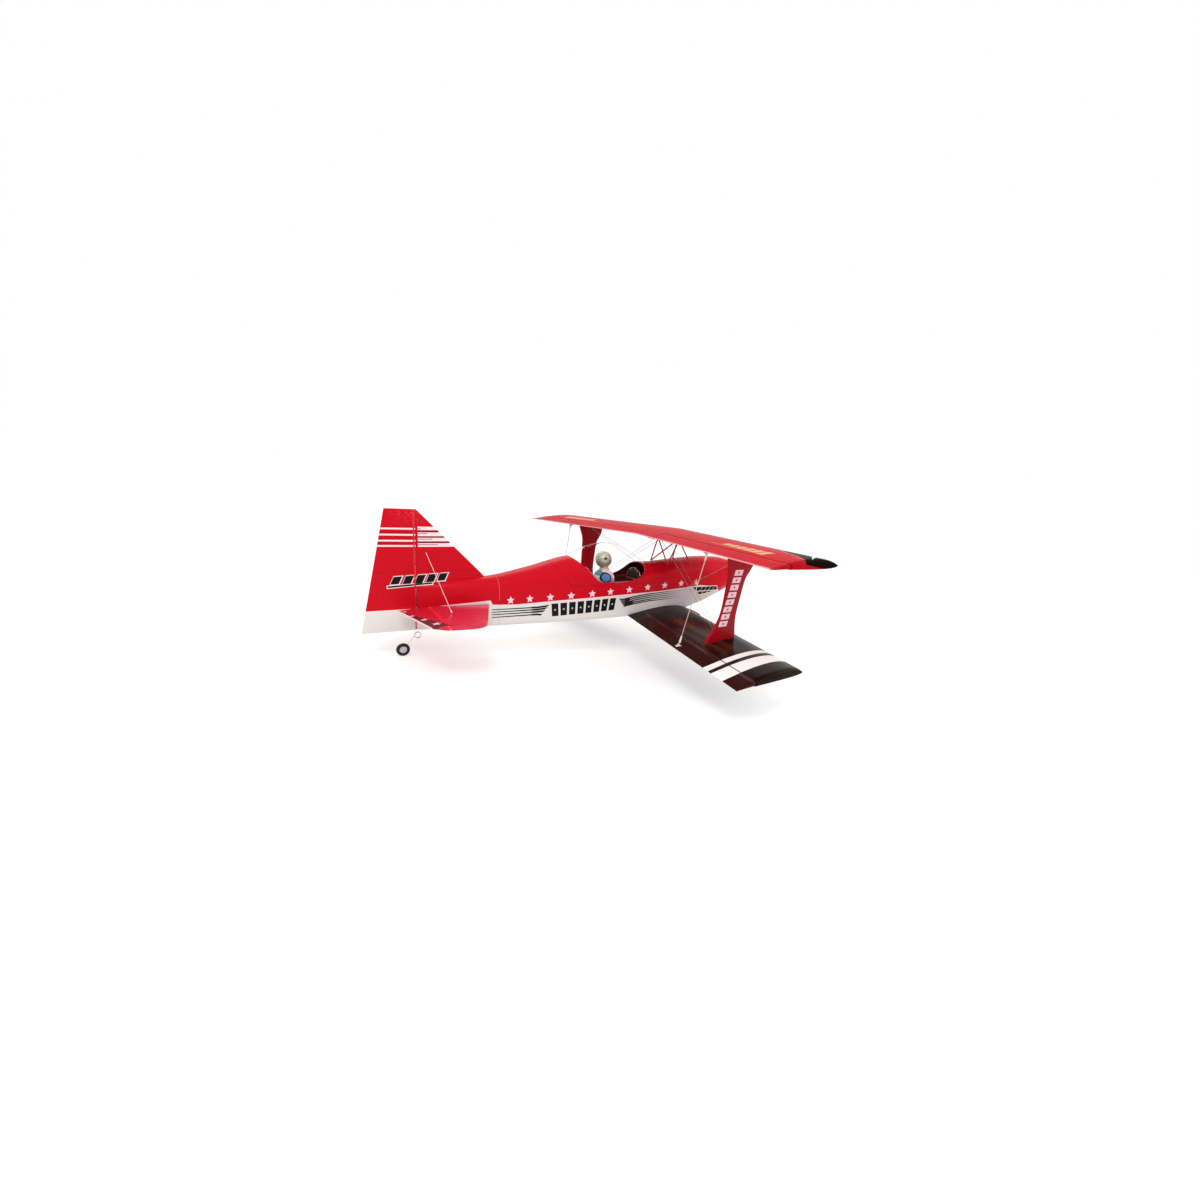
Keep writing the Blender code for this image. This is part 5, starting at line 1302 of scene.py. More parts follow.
def fin_section(front, back, z, squeeze=1.0):
    """Fin section at one height: elliptical leading edge and parallel sides to the hinge line."""
    half = blend(0.0042, 0.0036, min(max((z - 0.05) / 0.15, 0.0), 1.0)) * squeeze
    nose = min(0.018, (front - back) * 0.8)
    ring = [Vector((back, half, z)), Vector((blend(back, front - nose, 0.5), half, z))]
    for k in range(19):
        angle = math.radians(90 - 10 * k)
        ring.append(Vector((front - nose + nose * math.cos(angle), half * math.sin(angle), z)))
    return ring + [Vector((blend(back, front - nose, 0.5), -half, z)), Vector((back, -half, z))]


def fin_front(z):
    """Leading edge: a short dorsal fillet low down, then one straight sweep."""
    rows = [(0.050, -0.548), (0.1016, -0.5675), (FIN_TOP, -0.7042)]
    for (z0, x0), (z1, x1) in zip(rows, rows[1:]):
        if z <= z1:
            return blend(x0, x1, (z - z0) / (z1 - z0))
    return rows[-1][1]


def stabiliser_outline(grow=0.0):
    """Plan view of the stabiliser, with rounded front corners at the tips."""
    rear = ELEVATOR_HINGE_X + ELEVATOR_NOSE + 0.0004
    half = [(-0.5620 + grow, 0.0), (-0.5680 + grow, 0.036 + grow), (-0.6110 + grow, 0.168)]
    half += eased([(-0.6110 + grow, 0.168), (-0.6190 + grow, 0.182), (-0.6320, 0.1915 + grow),
                   (-0.6480, 0.1945 + grow)], 4)[1:]
    half.append((rear - grow, 0.1935 + grow))
    return half + [(x, -y) for x, y in reversed(half[1:])]


def tail_livery_and_glare(paint):
    """Fin and rudder graphics over the fuselage's white foot, a groove, and a painted speckled highlight near
    the fin's top.
    """
    x, z = paint.x, paint.z
    line = curve_through(paint.tree, x, BODY_LINE)
    paint.layer(BODY_WHITE, (line - z).inside())
    paint.layer(PINK_WHITE, (z - line + 0.0007).near(0.0010, 0.0006) * 0.8)
    rear_lines(paint)
    fin_livery(paint)
    groove = (z - 0.1144).near(0.0004, 0.0004)
    paint.raise_by(groove, -0.0003)
    paint.shade(groove, 1.0, 0.78)
    # Painted highlight: pink speckled glare over the beads near the top of the fin and rudder.
    glare_speckle = paint.cells(420.0)
    high = ((z - 0.205) / 0.035).clamp() * (1.0 - ((x - RUDDER_HINGE_X).size() / 0.05).clamp())
    paint.layer((0.84, 0.26, 0.30), ((0.35 - glare_speckle) * 5.0).clamp() * high * 0.7)
    return paint


def stab_livery_and_painted_light(paint):
    """Dark wedge with a growing row of stars, and a pale trailing edge, over a painted pink reflection and
    painted light along the hinge groove.
    """
    x, y = paint.x, paint.y.size()
    # Painted reflection: the upward-facing stabiliser and elevators lighter and pinker, ahead of and behind
    # the hinge.
    paint.layer((0.600, 0.0200, 0.0560), (x + 0.6860).inside(0.02) * 0.8)
    paint.layer((0.560, 0.0120, 0.0360), (-0.6860 - x).inside(0.02) * 0.6)
    # Painted light: bright red over the hinge groove between stabiliser and elevators, lifting its shade.
    paint.layer((0.95, 0.030, 0.080), x.band(-0.6905, -0.6845, 0.0006))
    wedge = ((-0.7482, 0.0206), (-0.7172, 0.1850), (-0.6835, 0.1840))
    paint.layer((0.115, 0.010, 0.018), outline_mask(x, y, wedge))
    for sx, sy, radius in TAIL_STARS:
        paint.layer((0.82, 0.66, 0.66), star(y - sy, x - sx, radius))
    edge_x = (y - 0.0205) * ((-0.7195 + 0.7480) / (0.1790 - 0.0205)) - 0.7480
    paint.layer((0.80, 0.62, 0.62), (0.0030 - (x - edge_x)).inside(0.0006))
    return paint


def build_tail():
    """Tail moulding with its fin, rudder, stabiliser, elevators and their horns."""
    paint = film_paint("tail_film", tail_livery_and_glare)
    cone = loft([section(x) for x in spread(-0.7079, -0.5454, 0.007)])
    back = RUDDER_HINGE_X + RUDDER_NOSE + 0.0004
    levels = [(z, 1.0) for z in spread(0.050, FIN_TOP - 0.0020, 0.010)]
    levels += [(FIN_TOP - 0.0008, 0.86), (FIN_TOP, 0.55)]
    fin = loft([fin_section(fin_front(z), back, z, squeeze) for z, squeeze in levels])
    moulding = cut(cone, fin, operation="UNION")
    slot = slab(stabiliser_outline(0.0003), STAB_Z - STAB_THICKNESS / 2 - 0.0003,
                STAB_Z + STAB_THICKNESS / 2 + 0.0003, "Z")
    passage = bar((ELEVATOR_HINGE_X, 0, STAB_Z), 0.0018, 0.04, 16)
    brace = bar(BRACE_TOP, 0.0010, 0.01, 12)
    moulding = cut(moulding, slot, passage, brace)
    piece("tail_skin", moulding, "airframe", paint, ("tail_moulding",))

    def rudder_livery_and_groove_light(layers):
        tail_livery_and_glare(layers)
        # Painted light: bright red on the rudder's nose, lifting the shade in the hinge groove.
        gap = (RUDDER_HINGE_X + 0.0010 - layers.x).inside(0.0006) * -1.0 + 1.0
        layers.layer((0.90, 0.012, 0.030), gap)
        return layers
    rudder_paint = film_paint("rudder_film", rudder_livery_and_groove_light)
    rudder = hinged_surface(((RUDDER_HINGE_X, 0, RUDDER_BOTTOM), (-0.8109, 0, RUDDER_BOTTOM)),
                            ((RUDDER_HINGE_X, 0, FIN_TOP), (-0.7628, 0, FIN_TOP)),
                            Vector((0, 1, 0)), RUDDER_NOSE, 0.0008, 26)
    rudder = cut(rudder, tube([(RUDDER_HINGE_X, 0, -0.03), (RUDDER_HINGE_X, 0, 0.0165)], 0.0012, 16))
    piece("rudder_skin", rudder, "rudder_unit", rudder_paint, ("rudder",))
    nylon = FINISH["nylon"]
    horn = slab([(RUDDER_HINGE_X - 0.0140, 0.0020), (RUDDER_HINGE_X - 0.0006, 0.0020),
                 (RUDDER_HINGE_X - 0.0006, 0.0090), (RUDDER_HINGE_X + 0.0020, 0.0117),
                 (RUDDER_HINGE_X + 0.0020, 0.0156), (RUDDER_HINGE_X - 0.0016, 0.0160)],
                RUDDER_HORN_Z - 0.0008, RUDDER_HORN_Z + 0.0008, "Z")
    holes = [bar((RUDDER_HINGE_X, y, RUDDER_HORN_Z), 0.0005, 0.01, 12, "Z") for y in (0.0140, 0.0117)]
    piece("rudder_horn", rounded(cut(horn, *holes), 0.00025, 2), "rudder_unit", nylon)

    stab_paint = film_paint("stabiliser_film", stab_livery_and_painted_light, coat=0.05, specular=0.30)
    stab = slab(stabiliser_outline(), STAB_Z - STAB_THICKNESS / 2, STAB_Z + STAB_THICKNESS / 2, "Z")
    rear = ELEVATOR_HINGE_X + ELEVATOR_NOSE + 0.0010
    edges = [e for e in stab.edges if abs(e.verts[0].co.z - e.verts[1].co.z) < 1e-6
             and max(e.verts[0].co.x, e.verts[1].co.x) > rear]
    bmesh.ops.bevel(stab, geom=edges, offset=0.0038, segments=5, profile=0.5, affect="EDGES",
                    clamp_overlap=True)
    piece("stabiliser_skin", stab, "airframe", stab_paint, ("stabiliser",))
    for side, label in ((1, "left"), (-1, "right")):
        half = hinged_surface(((ELEVATOR_HINGE_X, side * 0.0165, STAB_Z), (-0.7480, side * 0.0205, STAB_Z)),
                              ((ELEVATOR_HINGE_X, side * 0.1920, STAB_Z), (-0.7195, side * 0.1790, STAB_Z)),
                              Vector((0, 0, 1)), ELEVATOR_NOSE, 0.0007, 18)
        half = cut(half, tube([(ELEVATOR_HINGE_X, side * 0.010, STAB_Z),
                               (ELEVATOR_HINGE_X, side * 0.0405, STAB_Z)], 0.0016, 16))
        piece(f"elevator_skin_{label}", half, "elevator_unit", stab_paint, (f"elevator_{label}",))
    outline = [(ELEVATOR_HINGE_X + 0.0014, STAB_Z - 0.0040), (ELEVATOR_HINGE_X - 0.0130, STAB_Z - 0.0036),
               (ELEVATOR_HINGE_X - 0.0024, STAB_Z - 0.0150), (ELEVATOR_HINGE_X - 0.0012, STAB_Z - 0.0160),
               (ELEVATOR_HINGE_X + 0.0012, STAB_Z - 0.0160), (ELEVATOR_HINGE_X + 0.0021, STAB_Z - 0.0150)]
    horn = slab(outline, ELEVATOR_HORN_Y - 0.0008, ELEVATOR_HORN_Y + 0.0008)
    hole = bar((ELEVATOR_HINGE_X, ELEVATOR_HORN_Y, STAB_Z - HORN_LENGTH), 0.0005, 0.01, 12)
    piece("elevator_horn", rounded(cut(horn, hole), 0.00025, 2), "elevator_unit", nylon)
    joiner = bar((ELEVATOR_HINGE_X, 0, STAB_Z), 0.0012, 0.040, 20)
    piece("elevator_joiner_rod", rounded(joiner, 0.0002, 2), "elevator_unit", FINISH["steel"],
          ("elevator_joiner",))


# ---------------------------------------------------------------------------------------------
# Struts and rigging
# ---------------------------------------------------------------------------------------------
STRUT_Y = 0.3493
STRUT_TOP = 0.190
STRUT_LEAN = 0.080
STRUT_RAKE = 0.0665
STRUT_THICKNESS = 0.008
STRUT_REAR = [(-0.170, 0.205), (-0.164, 0.176), (-0.1590, 0.148), (-0.1630, 0.114), (-0.1690, 0.072),
              (-0.1775, 0.045), (-0.1940, 0.020), (-0.2075, 0.000), (-0.2085, -0.020)]
STRUT_FRONT = [(-0.1270, -0.020), (-0.1275, 0.006), (-0.1300, 0.034), (-0.1290, 0.058), (-0.1210, 0.097),
               (-0.1120, 0.134), (-0.0990, 0.154), (-0.0895, 0.172), (-0.0820, 0.205)]


def strut_paint():
    """Red strut with a column of generic white blocks, each with a star left open, on its outer face."""
    paint = Paint("strut_film", (0.33, 0.0035, 0.009), coat=0.02)
    x, z = paint.x, paint.z
    blocks = []
    lean = 0.2127
    for k in range(8):
        middle = 0.1500 - 0.0162 * k
        centre = middle * lean - 0.1630
        across, up = x - centre - (z - middle) * lean, z - middle
        blocks.append(across.near(0.0115) * up.near(0.0062) * (1.0 - star(across, up, 0.0038)))
    face = (paint.y.size() - (STRUT_Y + 0.0015 - (STRUT_TOP - z) * STRUT_LEAN)).inside()
    paint.layer((0.86, 0.62, 0.66), reduce(Field.most, blocks) * face)
    foam_finish(paint)
    return paint.done()


def build_struts():
    """Interplane struts, cabane struts and their centre block."""
    paint = strut_paint()
    for side, label in ((1, "left"), (-1, "right")):
        middle = side * STRUT_Y
        outline = ([p for p in eased(STRUT_REAR, 4)] + [p for p in eased(STRUT_FRONT, 4)])
        plate = slab(outline, middle - STRUT_THICKNESS / 2, middle + STRUT_THICKNESS / 2)
        trim = block((-0.30, middle - 0.05, -0.0135), (0.05, middle + 0.05, 0.1895))
        plate = cut(plate, trim, operation="INTERSECT")
        rounded(plate, 0.0032, 4, 50)
        for vertex in plate.verts:
            below_top = STRUT_TOP - vertex.co.z
            vertex.co.x += STRUT_RAKE * below_top
            vertex.co.y -= side * STRUT_LEAN * below_top
        piece(f"strut_{label}", plate, "airframe", paint, (f"interplane_strut_{label}",))

    rod_paint = simple_finish("cabane_red", (0.50, 0.012, 0.022), 0.30, coat=0.3, grain=300.0)
    for side, label in ((1, "left"), (-1, "right")):
        corners = [(-0.0260, 0.0400, 0.1245), (-0.0395, 0.0045, 0.1810), (-0.1000, 0.0400, 0.1205),
                   (-0.1060, 0.0045, 0.1810)]
        path = [Vector((x, side * y, z)) for x, y, z in corners]
        smooth = [path[0]]
        for before, corner, after in zip(path, path[1:], path[2:]):
            a = corner + (before - corner).normalized() * 0.004
            b = corner + (after - corner).normalized() * 0.004
            for k in range(7):
                t = k / 6
                smooth.append(a * (1 - t) ** 2 + corner * 2 * t * (1 - t) + b * t * t)
        smooth.append(path[-1])
        piece(f"cabane_rods_{label}", tube(smooth, 0.0018, 16), "airframe", rod_paint,
              (f"cabane_strut_{label}",))
    refine("cabane_block", FINISH["white_gloss"], 0.0008, 3)
    build_rigging()


def fitting(at, along, length=0.012):
    """Turned ferrule and eye at the end of a rigging wire."""
    along = Vector(along).normalized()
    steps = [(0.0, 0.0008), (0.18, 0.0013), (0.55, 0.0013), (0.62, 0.0008), (1.0, 0.0006)]
    points = [Vector(at) + along * length * t for t, _ in steps]
    return tube(points, [r for _, r in steps], 14)


def build_rigging():
    """Landing and flying wires with ferrules and plates, and the tail brace wire."""
    wire = FINISH["dark_wire"]
    for side, label in ((1, "left"), (-1, "right")):
        def at(x, y, z):
            return Vector((x, side * y, z))
        sets = {
            "landing": (at(-0.1530, STRUT_Y - 0.0066 - STRUT_LEAN * 0.187, 0.0030),
                        [at(-0.1060, 0.0115, 0.1865), at(-0.0820, 0.0115, 0.1865)]),
            "flying": (at(-0.1230, STRUT_Y - 0.0066 - STRUT_LEAN * 0.012, 0.1780),
                       [at(-0.0480, 0.0585, 0.0600), at(-0.0270, 0.0585, 0.0710)]),
        }
        for word, (plate, starts) in sets.items():
            shapes = [rounded(block(plate - Vector((0.0060, 0.0015, 0.0015)),
                                    plate + Vector((0.0060, 0.0015, 0.0015))), 0.0005, 3)]
            for start, shift in zip(starts, (-0.003, 0.003)):
                end = plate + Vector((shift, 0, 0))
                shapes.append(tube([start, blend(start, end, 0.5), end], 0.0005, 10))
                shapes.append(fitting(end, start - end))
                shapes.append(fitting(start, end - start, 0.009))
            piece(f"{word}_rigging_{label}", joined(*shapes), "airframe", wire,
                  (f"{word}_wires_{label}",))
    foot = BRACE_FOOT
    other = Vector((foot.x, -foot.y, foot.z))
    path = [foot, BRACE_TOP + Vector((0, 0.006, 0)), BRACE_TOP - Vector((0, 0.006, 0)), other]
    shapes = [tube(path, 0.0005, 10)]
    for end, before in ((foot, path[1]), (other, path[2])):
        shapes.append(fitting(end, before - end, 0.008))
    piece("tail_brace", joined(*shapes), "airframe", FINISH["nylon"], ("tail_brace_wire",))


# ---------------------------------------------------------------------------------------------
# Controls
# ---------------------------------------------------------------------------------------------
ROD_RADIUS = 0.0009
CLEVIS_LENGTH = 0.0165
AILERON_HORN_Y = 0.220


def rod_with_ends(start, end):
    """Threaded rod between two nylon clevises: returns the rod and the clevises."""
    along = (end - start).normalized()
    rod = tube([start, blend(start, end, 0.5), end], ROD_RADIUS, 14)
    ends = []
    for point, way in ((start, along), (end, -along)):
        steps = [(0.0, 0.0014), (0.08, 0.0021), (0.50, 0.0022), (0.62, 0.0017), (0.92, 0.0017), (1.0, 0.0012)]
        ends.append(tube([point + way * CLEVIS_LENGTH * t for t, _ in steps], [r for _, r in steps], 16))
    return rod, joined(*ends)


def servo_arm(shaft, tip):
    """Nylon servo arm: tapered plate with round ends and a row of holes."""
    along = (tip - shaft).normalized()
    across = along.cross(Vector((0, 1, 0)))
    ring = []
    for k in range(13):
        a = math.radians(90 + 15 * k)
        ring.append(shaft + across * 0.0022 * math.sin(a) + along * 0.0021 * math.cos(a))
    for k in range(13):
        a = math.radians(-90 + 15 * k)
        ring.append(tip + across * 0.0017 * math.sin(a) + along * 0.0020 * math.cos(a))
    half = Vector((0, 0.0007, 0))
    plate = loft([[p - half for p in ring], [p + half for p in ring]])
    holes = [bar(blend(shaft, tip, t), 0.00045, 0.004, 10) for t in (0.42, 0.62, 0.81, 1.0)]
    return rounded(cut(plate, *holes), 0.0002, 2)


def servo_case(low, high):
    """Servo case in three moulded sections with lid lines."""
    length = high.x - low.x
    body = block(low, high)
    grooves = []
    for t in (0.16, 0.80):
        x = low.x + length * t
        for z in (low.z, high.z):
            grooves.append(block((x - 0.00025, low.y - 0.01, z - 0.0003),
                                 (x + 0.00025, high.y + 0.01, z + 0.0003)))
    return rounded(cut(rounded(body, 0.0008, 3), *grooves), 0.00008, 1, 50)


def build_controls():
    """Servos, arms, pushrods and the rods that tie upper and lower ailerons."""
    steel, nylon, case_finish = FINISH["steel"], FINISH["nylon"], FINISH["black_plastic"]
    for label, sign in (("rudder", 1), ("elevator", -1)):
        middle = middle_of(f"{label}_servo")
        size = Vector((0.0230, 0.0220, 0.0120)) / 2
        case = servo_case(middle - size, middle + size)
        piece(f"{label}_servo_case", case, "airframe", case_finish, (f"{label}_servo",))
        shaft = Vector((-0.505, 0.0470, {"rudder": 0.0610, "elevator": 0.0370}[label]))
        tip = shaft + Vector((0, 0, sign * HORN_LENGTH))
        piece(f"{label}_arm", servo_arm(shaft, tip), f"{label}_arm_unit", nylon,
              (f"{label}_servo_arm",))
        start = tip + Vector((0.0022, 0.0024, 0))
        if label == "rudder":
            end = Vector((RUDDER_HINGE_X - 0.001, HORN_LENGTH, RUDDER_HORN_Z + 0.0020))
        else:
            end = Vector((ELEVATOR_HINGE_X - 0.001, ELEVATOR_HORN_Y + 0.0020, STAB_Z - HORN_LENGTH))
        rod = tube([blend(start, end, k / 8) for k in range(9)], ROD_RADIUS, 14)
        piece(f"{label}_rod", rod, f"{label}_pushrod_unit", steel, (f"{label}_pushrod",))

    for side, label in ((1, "left"), (-1, "right")):
        hinge = hinge_point(LOWER, side * AILERON_HORN_Y)
        shaft = hinge + Vector((0.062, 0.0, -0.0060))
        case = servo_case(shaft + Vector((-0.0121, -side * 0.0010 - 0.0081, -0.0040)),
                          shaft + Vector((0.0211, -side * 0.0010 + 0.0081, 0.0058)))
        piece(f"aileron_servo_case_{label}", case, "airframe", case_finish,
              (f"aileron_servo_{label}",))
        pivot = shaft + Vector((0, 0, -0.0075))
        tip = pivot + Vector((0, 0, -HORN_LENGTH))
        piece(f"aileron_arm_{label}", servo_arm(pivot, tip), f"servo_arm_{label}_unit", nylon,
              (f"aileron_servo_arm_{label}",))
        beside = Vector((0, side * 0.0020, 0))
        start = tip + beside + Vector((0.0015, 0, 0))
        end = hinge + Vector((-0.0015, 0, -HORN_LENGTH)) + beside
        rod = tube([blend(start, end, k / 6) for k in range(7)], ROD_RADIUS, 14)
        piece(f"aileron_rod_{label}", rod, f"pushrod_{label}_unit", steel,
              (f"aileron_pushrod_{label}",))
        offset = Vector((0, side * 0.0034, 0))
        ends = []
        for wing, link_y, way in ((LOWER, LOWER_LINK_Y, 1), (UPPER, UPPER_LINK_Y, -1)):
            pivot = hinge_point(wing, side * link_y) + Vector((-LINK_OFFSET, 0, way * LINK_PIVOT))
            ends.append(pivot + offset)
        low_end, high_end = ends
        rod, ends = rod_with_ends(low_end, high_end)
        piece(f"link_rod_{label}", rod, f"link_rod_{label}_unit", FINISH["dull_rod"],
              (f"aileron_link_rod_{label}",))
        piece(f"link_clevises_{label}", ends, f"link_rod_{label}_unit", nylon)


# ---------------------------------------------------------------------------------------------
# Motor and propeller
# ---------------------------------------------------------------------------------------------
THRUST_Z = 0.0868
PROP_X = 0.1700
PROP_RADIUS = 0.140
PROP_REST_ANGLE = math.radians(28.0)
SPINNER_RADIUS = 0.0225
SPINNER_BACK = 0.1600
SPINNER_TIP = 0.2057


def blade_section(radius, chord, pitch):
    """Airfoil-like blade section at one radius, twisted about the blade's own axis, blade along +Y."""
    ring = []
    for k in range(24):
        a = 2 * math.pi * k / 24
        u = 0.5 * math.cos(a)
        thick = 0.085 * (1 - (2 * u) ** 2) ** 0.6 if math.sin(a) > 0 else -0.036 * (1 - (2 * u) ** 2) ** 0.6
        v = thick * chord + (0.0003 if math.sin(a) > 0 else -0.0003)
        u *= chord
        ring.append(Vector((u * math.sin(pitch) + v * math.cos(pitch), radius,
                            u * math.cos(pitch) - v * math.sin(pitch))))
    return ring


def build_power():
    """Outrunner motor, propeller, spinner, battery, speed controller and their mount."""
    centre = Vector((0, 0, THRUST_Z))
    stator = turned([(0.0990, 0.0030), (0.0990, 0.0176), (0.0994, 0.0180), (0.1026, 0.0180), (0.1030, 0.0176),
                     (0.1030, 0.0145), (0.1290, 0.0145), (0.1290, 0.0030)], centre, "X", 48)
    piece("stator", stator, "airframe", simple_finish("copper_winding", (0.45, 0.16, 0.07), 0.35, 0.9,
                                                      grain=1200.0, stretch=(0.2, 1.0, 1.0)),
          ("motor_stator",))
    bell = turned([(0.1000, 0.0), (0.1000, 0.0020), (0.1310, 0.0020), (0.1310, 0.0160), (0.1035, 0.0160),
                   (0.1035, 0.0186), (0.1040, 0.0190), (0.1325, 0.0190), (0.1340, 0.0184), (0.1370, 0.0150),
                   (0.1370, 0.0045), (0.1400, 0.0045), (0.1400, 0.0020), (0.1825, 0.0020), (0.1830, 0.0016),
                   (0.1830, 0.0)], centre, "X", 56)
    windows = []
    for k in range(6):
        a = math.pi * k / 3
        at = centre + Vector((0.1355, 0.0108 * math.cos(a), 0.0108 * math.sin(a)))
        windows.append(bar(at, 0.0030, 0.008, 20, "X"))
    piece("bell", cut(bell, *windows), "power_rotor", FINISH["aluminium"], ("motor_bell",))
    plate = turned([(SPINNER_BACK, 0.0024), (SPINNER_BACK, SPINNER_RADIUS - 0.0004),
                    (SPINNER_BACK + 0.0004, SPINNER_RADIUS), (SPINNER_BACK + 0.0018, SPINNER_RADIUS),
                    (SPINNER_BACK + 0.0022, SPINNER_RADIUS - 0.0004), (SPINNER_BACK + 0.0022, 0.0024)],
                   centre, "X", 64)
    piece("spinner_plate", plate, "power_rotor", FINISH["black_plastic"], ("spinner_backplate",))
    build_propeller(centre)
    build_spinner(centre)
    sleeve = rounded(block((-0.128, -0.022, 0.0090), (-0.032, 0.022, 0.0330)), 0.0032, 4)
    piece("battery_sleeve", sleeve, "airframe", FINISH["sleeve"], ("battery",))
    esc = rounded(block((0.012, -0.014, 0.0300), (0.058, 0.014, 0.0420)), 0.0024, 4)
    piece("controller_sleeve", esc, "airframe", FINISH["black_plastic"], ("speed_controller",))
    refine("firewall_mount", FINISH["wood"], 0.0003, 2)
    tube_paint = simple_finish("carbon_tube", (0.020, 0.020, 0.022), 0.28, coat=0.6, grain=500.0,
                               stretch=(1.0, 0.2, 1.0))
    refine("wing_joiner_tube", tube_paint, 0.0004, 2)


def build_propeller(centre):
    """Two-blade propeller at its rest angle."""
    hub = turned([(-0.0050, 0.0024), (-0.0050, 0.0080), (-0.0045, 0.0085), (0.0050, 0.0085), (0.0055, 0.0080),
                  (0.0055, 0.0024)], (PROP_X, 0, 0), "X", 40)
    rows = [(0.0050, 0.0110, 62), (0.018, 0.0150, 45), (0.040, 0.0225, 30), (0.070, 0.0240, 19),
            (0.100, 0.0205, 14), (0.125, 0.0145, 11), (0.1330, 0.0112, 10), (PROP_RADIUS, 0.0050, 9)]
    blades = []
    for turn_angle in (0.0, math.pi):
        stations = spread(0.005, 0.133, 0.006) + [0.1355, 0.1375, 0.1390, PROP_RADIUS]
        rings = [blade_section(r, through(rows, r)[0], math.radians(through(rows, r)[1])) for r in stations]
        blade = loft(rings)
        blade.transform(Matrix.Translation((PROP_X, 0, 0)) @ Matrix.Rotation(turn_angle, 4, "X"))
        blades.append(blade)
    prop = cut(hub, *blades, operation="UNION")
    prop.transform(Matrix.Translation(centre) @ Matrix.Rotation(-PROP_REST_ANGLE, 4, "X"))
    bore = bar((PROP_X, 0, THRUST_Z), 0.0024, 0.02, 24, "X")
    piece("prop", cut(prop, bore), "power_rotor", FINISH["black_plastic"], ("propeller",))


def build_spinner(centre):
    """Pointed spinner shell with slots for the blades."""
    back = SPINNER_BACK + 0.0026
    length = SPINNER_TIP - back
    outer, inner = [], []
    for k in range(33):
        t = k / 32
        reach = math.sin(t * math.pi / 2) ** 1.15
        taper = max(math.cos(t * math.pi / 2), 0.0) ** 0.72
        outer.append((back + length * reach, SPINNER_RADIUS * taper))
        inner.append((back + (length - 0.004) * reach, (SPINNER_RADIUS - 0.0012) * taper))
    outer[-1] = (SPINNER_TIP, 0.0)
    inner[-1] = (SPINNER_TIP - 0.004, 0.0)
    shell = turned(outer + inner[::-1], centre, "X", 72)
    slots = block((back - 0.002, -0.03, -0.0085), (PROP_X + 0.0090, 0.03, 0.0085))
    slots.transform(Matrix.Translation(centre) @ Matrix.Rotation(-PROP_REST_ANGLE, 4, "X"))
    piece("spinner_shell", cut(shell, slots), "power_rotor", FINISH["white_gloss"], ("spinner",))


# ---------------------------------------------------------------------------------------------
# Landing gear
# ---------------------------------------------------------------------------------------------
AXLE = Vector((0.035, 0.120, -0.105))
TAIL_WHEEL = Vector((-0.736, 0.0, -0.0495))


def build_wheel(label, node, body, centre, radius, width, hub_radius, bore, sides):
    """Grooved foam tyre on a spoked nylon hub."""
    half = width / 2
    rim = hub_radius + 0.0004
    tall = radius - rim
    side = [(-half * across, rim + tall * out) for across, out in (
        (0.62, 0.0), (0.80, 0.10), (0.95, 0.30), (1.0, 0.55), (0.97, 0.68), (0.86, 0.82), (0.72, 0.90),
        (0.52, 0.965), (0.30, 0.998), (0.15, 1.0), (0.12, 0.95), (0.05, 0.95), (0.02, 1.0))]
    tyre = turned(side + [(-t, r) for t, r in reversed(side)], centre, "Y", sides * 2)
    rubber = tyre_paint(f"{label}_foam", centre, radius)
    piece(f"{label}_rubber", tyre, body, rubber, (f"{node}_tyre",))
    side = [(-half * across, bore + hub_radius * out) for across, out in (
        (0.80, 0.0), (0.80, 0.18), (0.74, 0.22), (0.30, 0.26), (0.25, 0.32))]
    side += [(-half * across, hub_radius * out) for across, out in (
        (0.25, 0.80), (0.30, 0.84), (0.58, 0.86), (0.62, 0.89), (0.62, 1.0))]
    hub = turned(side + [(-t, r) for t, r in reversed(side)], centre, "Y", sides * 2)
    if radius > 0.02:
        holes = []
        middle = (bore + hub_radius * 0.32 + hub_radius * 0.80) / 2
        for k in range(6):
            a = math.pi * k / 3 + 0.3
            at = Vector(centre) + Vector((middle * math.cos(a), 0, middle * math.sin(a)))
            holes.append(bar(at, hub_radius * 0.125, 0.02, 20))
        hub = cut(hub, *holes)
    piece(f"{label}_wheel", hub, body, FINISH["grey_plastic"] if radius < 0.02 else FINISH["nylon"],
          (f"{node}_hub",))


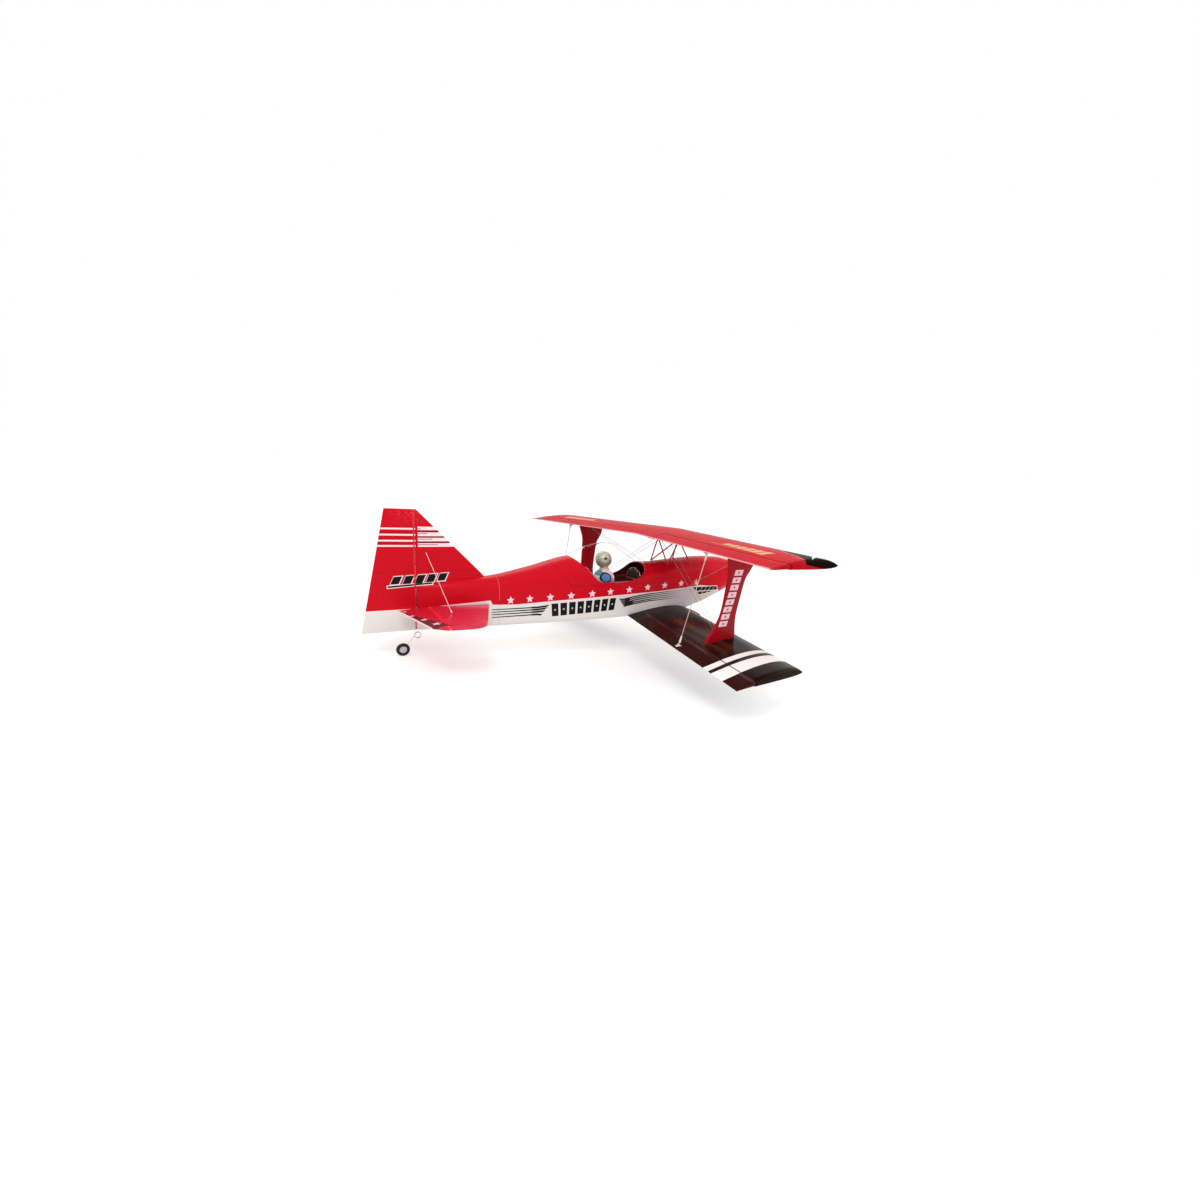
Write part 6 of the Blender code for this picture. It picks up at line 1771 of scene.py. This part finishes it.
def build_landing_gear():
    """Sprung main gear leg, its wheels, and the coiled tail wheel wire."""
    gear_paint = simple_finish("gear_red", (0.46, 0.010, 0.020), 0.26, coat=0.4, grain=260.0)
    refine("landing_gear", gear_paint, 0.0007, 3)
    for side, label in ((1, "left"), (-1, "right")):
        build_wheel(f"main_{label}_look", f"main_{label}", f"main_wheel_{label}",
                    Vector((AXLE.x, side * AXLE.y, AXLE.z)), 0.02993, 0.018, 0.0155, 0.0024, 40)
    build_wheel("tail_look", "tail", "tail_wheel", TAIL_WHEEL, 0.0132, 0.0085, 0.0070, 0.0012, 32)

    coil_radius = 0.0062
    coil = Vector((RUDDER_HINGE_X + coil_radius, 0.0, -0.0215))
    turns, rise = 1.80, 0.0026
    points = [Vector((RUDDER_HINGE_X, 0.0, 0.0155)), Vector((RUDDER_HINGE_X, 0.0, -0.0140))]
    count = 60
    for k in range(count + 1):
        angle = math.pi + 2 * math.pi * turns * k / count
        points.append(coil + Vector((coil_radius * math.cos(angle), rise * turns * k / count,
                                     coil_radius * math.sin(angle))))
    side = 0.0085 / 2 + 0.0030
    points.append(Vector((TAIL_WHEEL.x + 0.0130, side, TAIL_WHEEL.z + 0.0110)))
    points.append(Vector((TAIL_WHEEL.x + 0.0008, side, TAIL_WHEEL.z + 0.0006)))
    points.append(Vector((TAIL_WHEEL.x, side - 0.0014, TAIL_WHEEL.z)))
    points.append(Vector((TAIL_WHEEL.x, -side - 0.0010, TAIL_WHEEL.z)))
    piece("tail_wire", tube(points, 0.0009, 14), "rudder_unit", FINISH["steel"], ("tail_gear_wire",))


# ---------------------------------------------------------------------------------------------
# Floor, light and camera
# ---------------------------------------------------------------------------------------------
def build_stage():
    """Pale floor, soft studio light and the camera at the photograph's viewing angle."""
    bm = bmesh.new()
    bmesh.ops.create_grid(bm, x_segments=2, y_segments=2, size=30.0)
    mesh = bpy.data.meshes.new("floor")
    bm.to_mesh(mesh)
    bm.free()
    floor = bpy.data.objects.new("floor", mesh)
    bpy.context.scene.collection.objects.link(floor)
    pale = bpy.data.materials.new("floor_pale")
    pale.use_nodes = True
    shader = pale.node_tree.nodes["Principled BSDF"]
    shader.inputs["Base Color"].default_value = (0.62, 0.62, 0.62, 1.0)
    shader.inputs["Roughness"].default_value = 0.95
    shader.inputs["Specular IOR Level"].default_value = 0.0
    shader.inputs["Emission Color"].default_value = (1.0, 1.0, 1.0, 1.0)
    shader.inputs["Emission Strength"].default_value = 0.45
    mesh.materials.append(pale)

    world = bpy.data.worlds.new("studio")
    world.use_nodes = True
    world.node_tree.nodes["Background"].inputs["Color"].default_value = (1.0, 1.0, 1.0, 1.0)
    world.node_tree.nodes["Background"].inputs["Strength"].default_value = 1.0
    bpy.context.scene.world = world

    def area(name, at, target, size, power):
        light = bpy.data.lights.new(name, "AREA")
        light.shape = "DISK"
        light.size = size
        light.energy = power
        lamp = bpy.data.objects.new(name, light)
        lamp.location = at
        lamp.rotation_euler = (Vector(target) - Vector(at)).to_track_quat("-Z", "Y").to_euler()
        bpy.context.scene.collection.objects.link(lamp)

    area("key", (-1.6, -2.2, 3.0), (0.0, 0.0, 0.15), 1.4, 44.0)
    area("fill", (2.4, -1.6, 2.2), (0.0, 0.0, 0.15), 2.0, 10.0)
    area("back", (0.6, 2.6, 2.8), (0.0, 0.0, 0.2), 1.8, 14.0)

    camera = bpy.data.cameras.new("camera")
    camera.lens = 16.497
    camera.sensor_width = 36.0
    camera.shift_x = -0.05642
    camera.shift_y = 0.00378
    camera.clip_start = 0.05
    camera.clip_end = 200.0
    camera.dof.use_dof = False
    right = Vector((0.8164466, -0.57363686, 0.06599781))
    up = Vector((0.0653095, 0.20530356, 0.97651683))
    ahead = Vector((0.57371563, 0.79296356, -0.20508333))
    turn = Matrix((right, up, -ahead)).transposed().to_4x4()
    eye = bpy.data.objects.new("camera", camera)
    bpy.context.scene.collection.objects.link(eye)
    eye.matrix_world = DATUM @ Matrix.Translation(Vector((-0.9384, -1.213, 0.3156))) @ turn
    bpy.context.scene.camera = eye
    bpy.context.scene.view_settings.view_transform = "Standard"


build_wings()
build_fuselage()
build_tail()
build_struts()
build_controls()
build_power()
build_landing_gear()
build_stage()
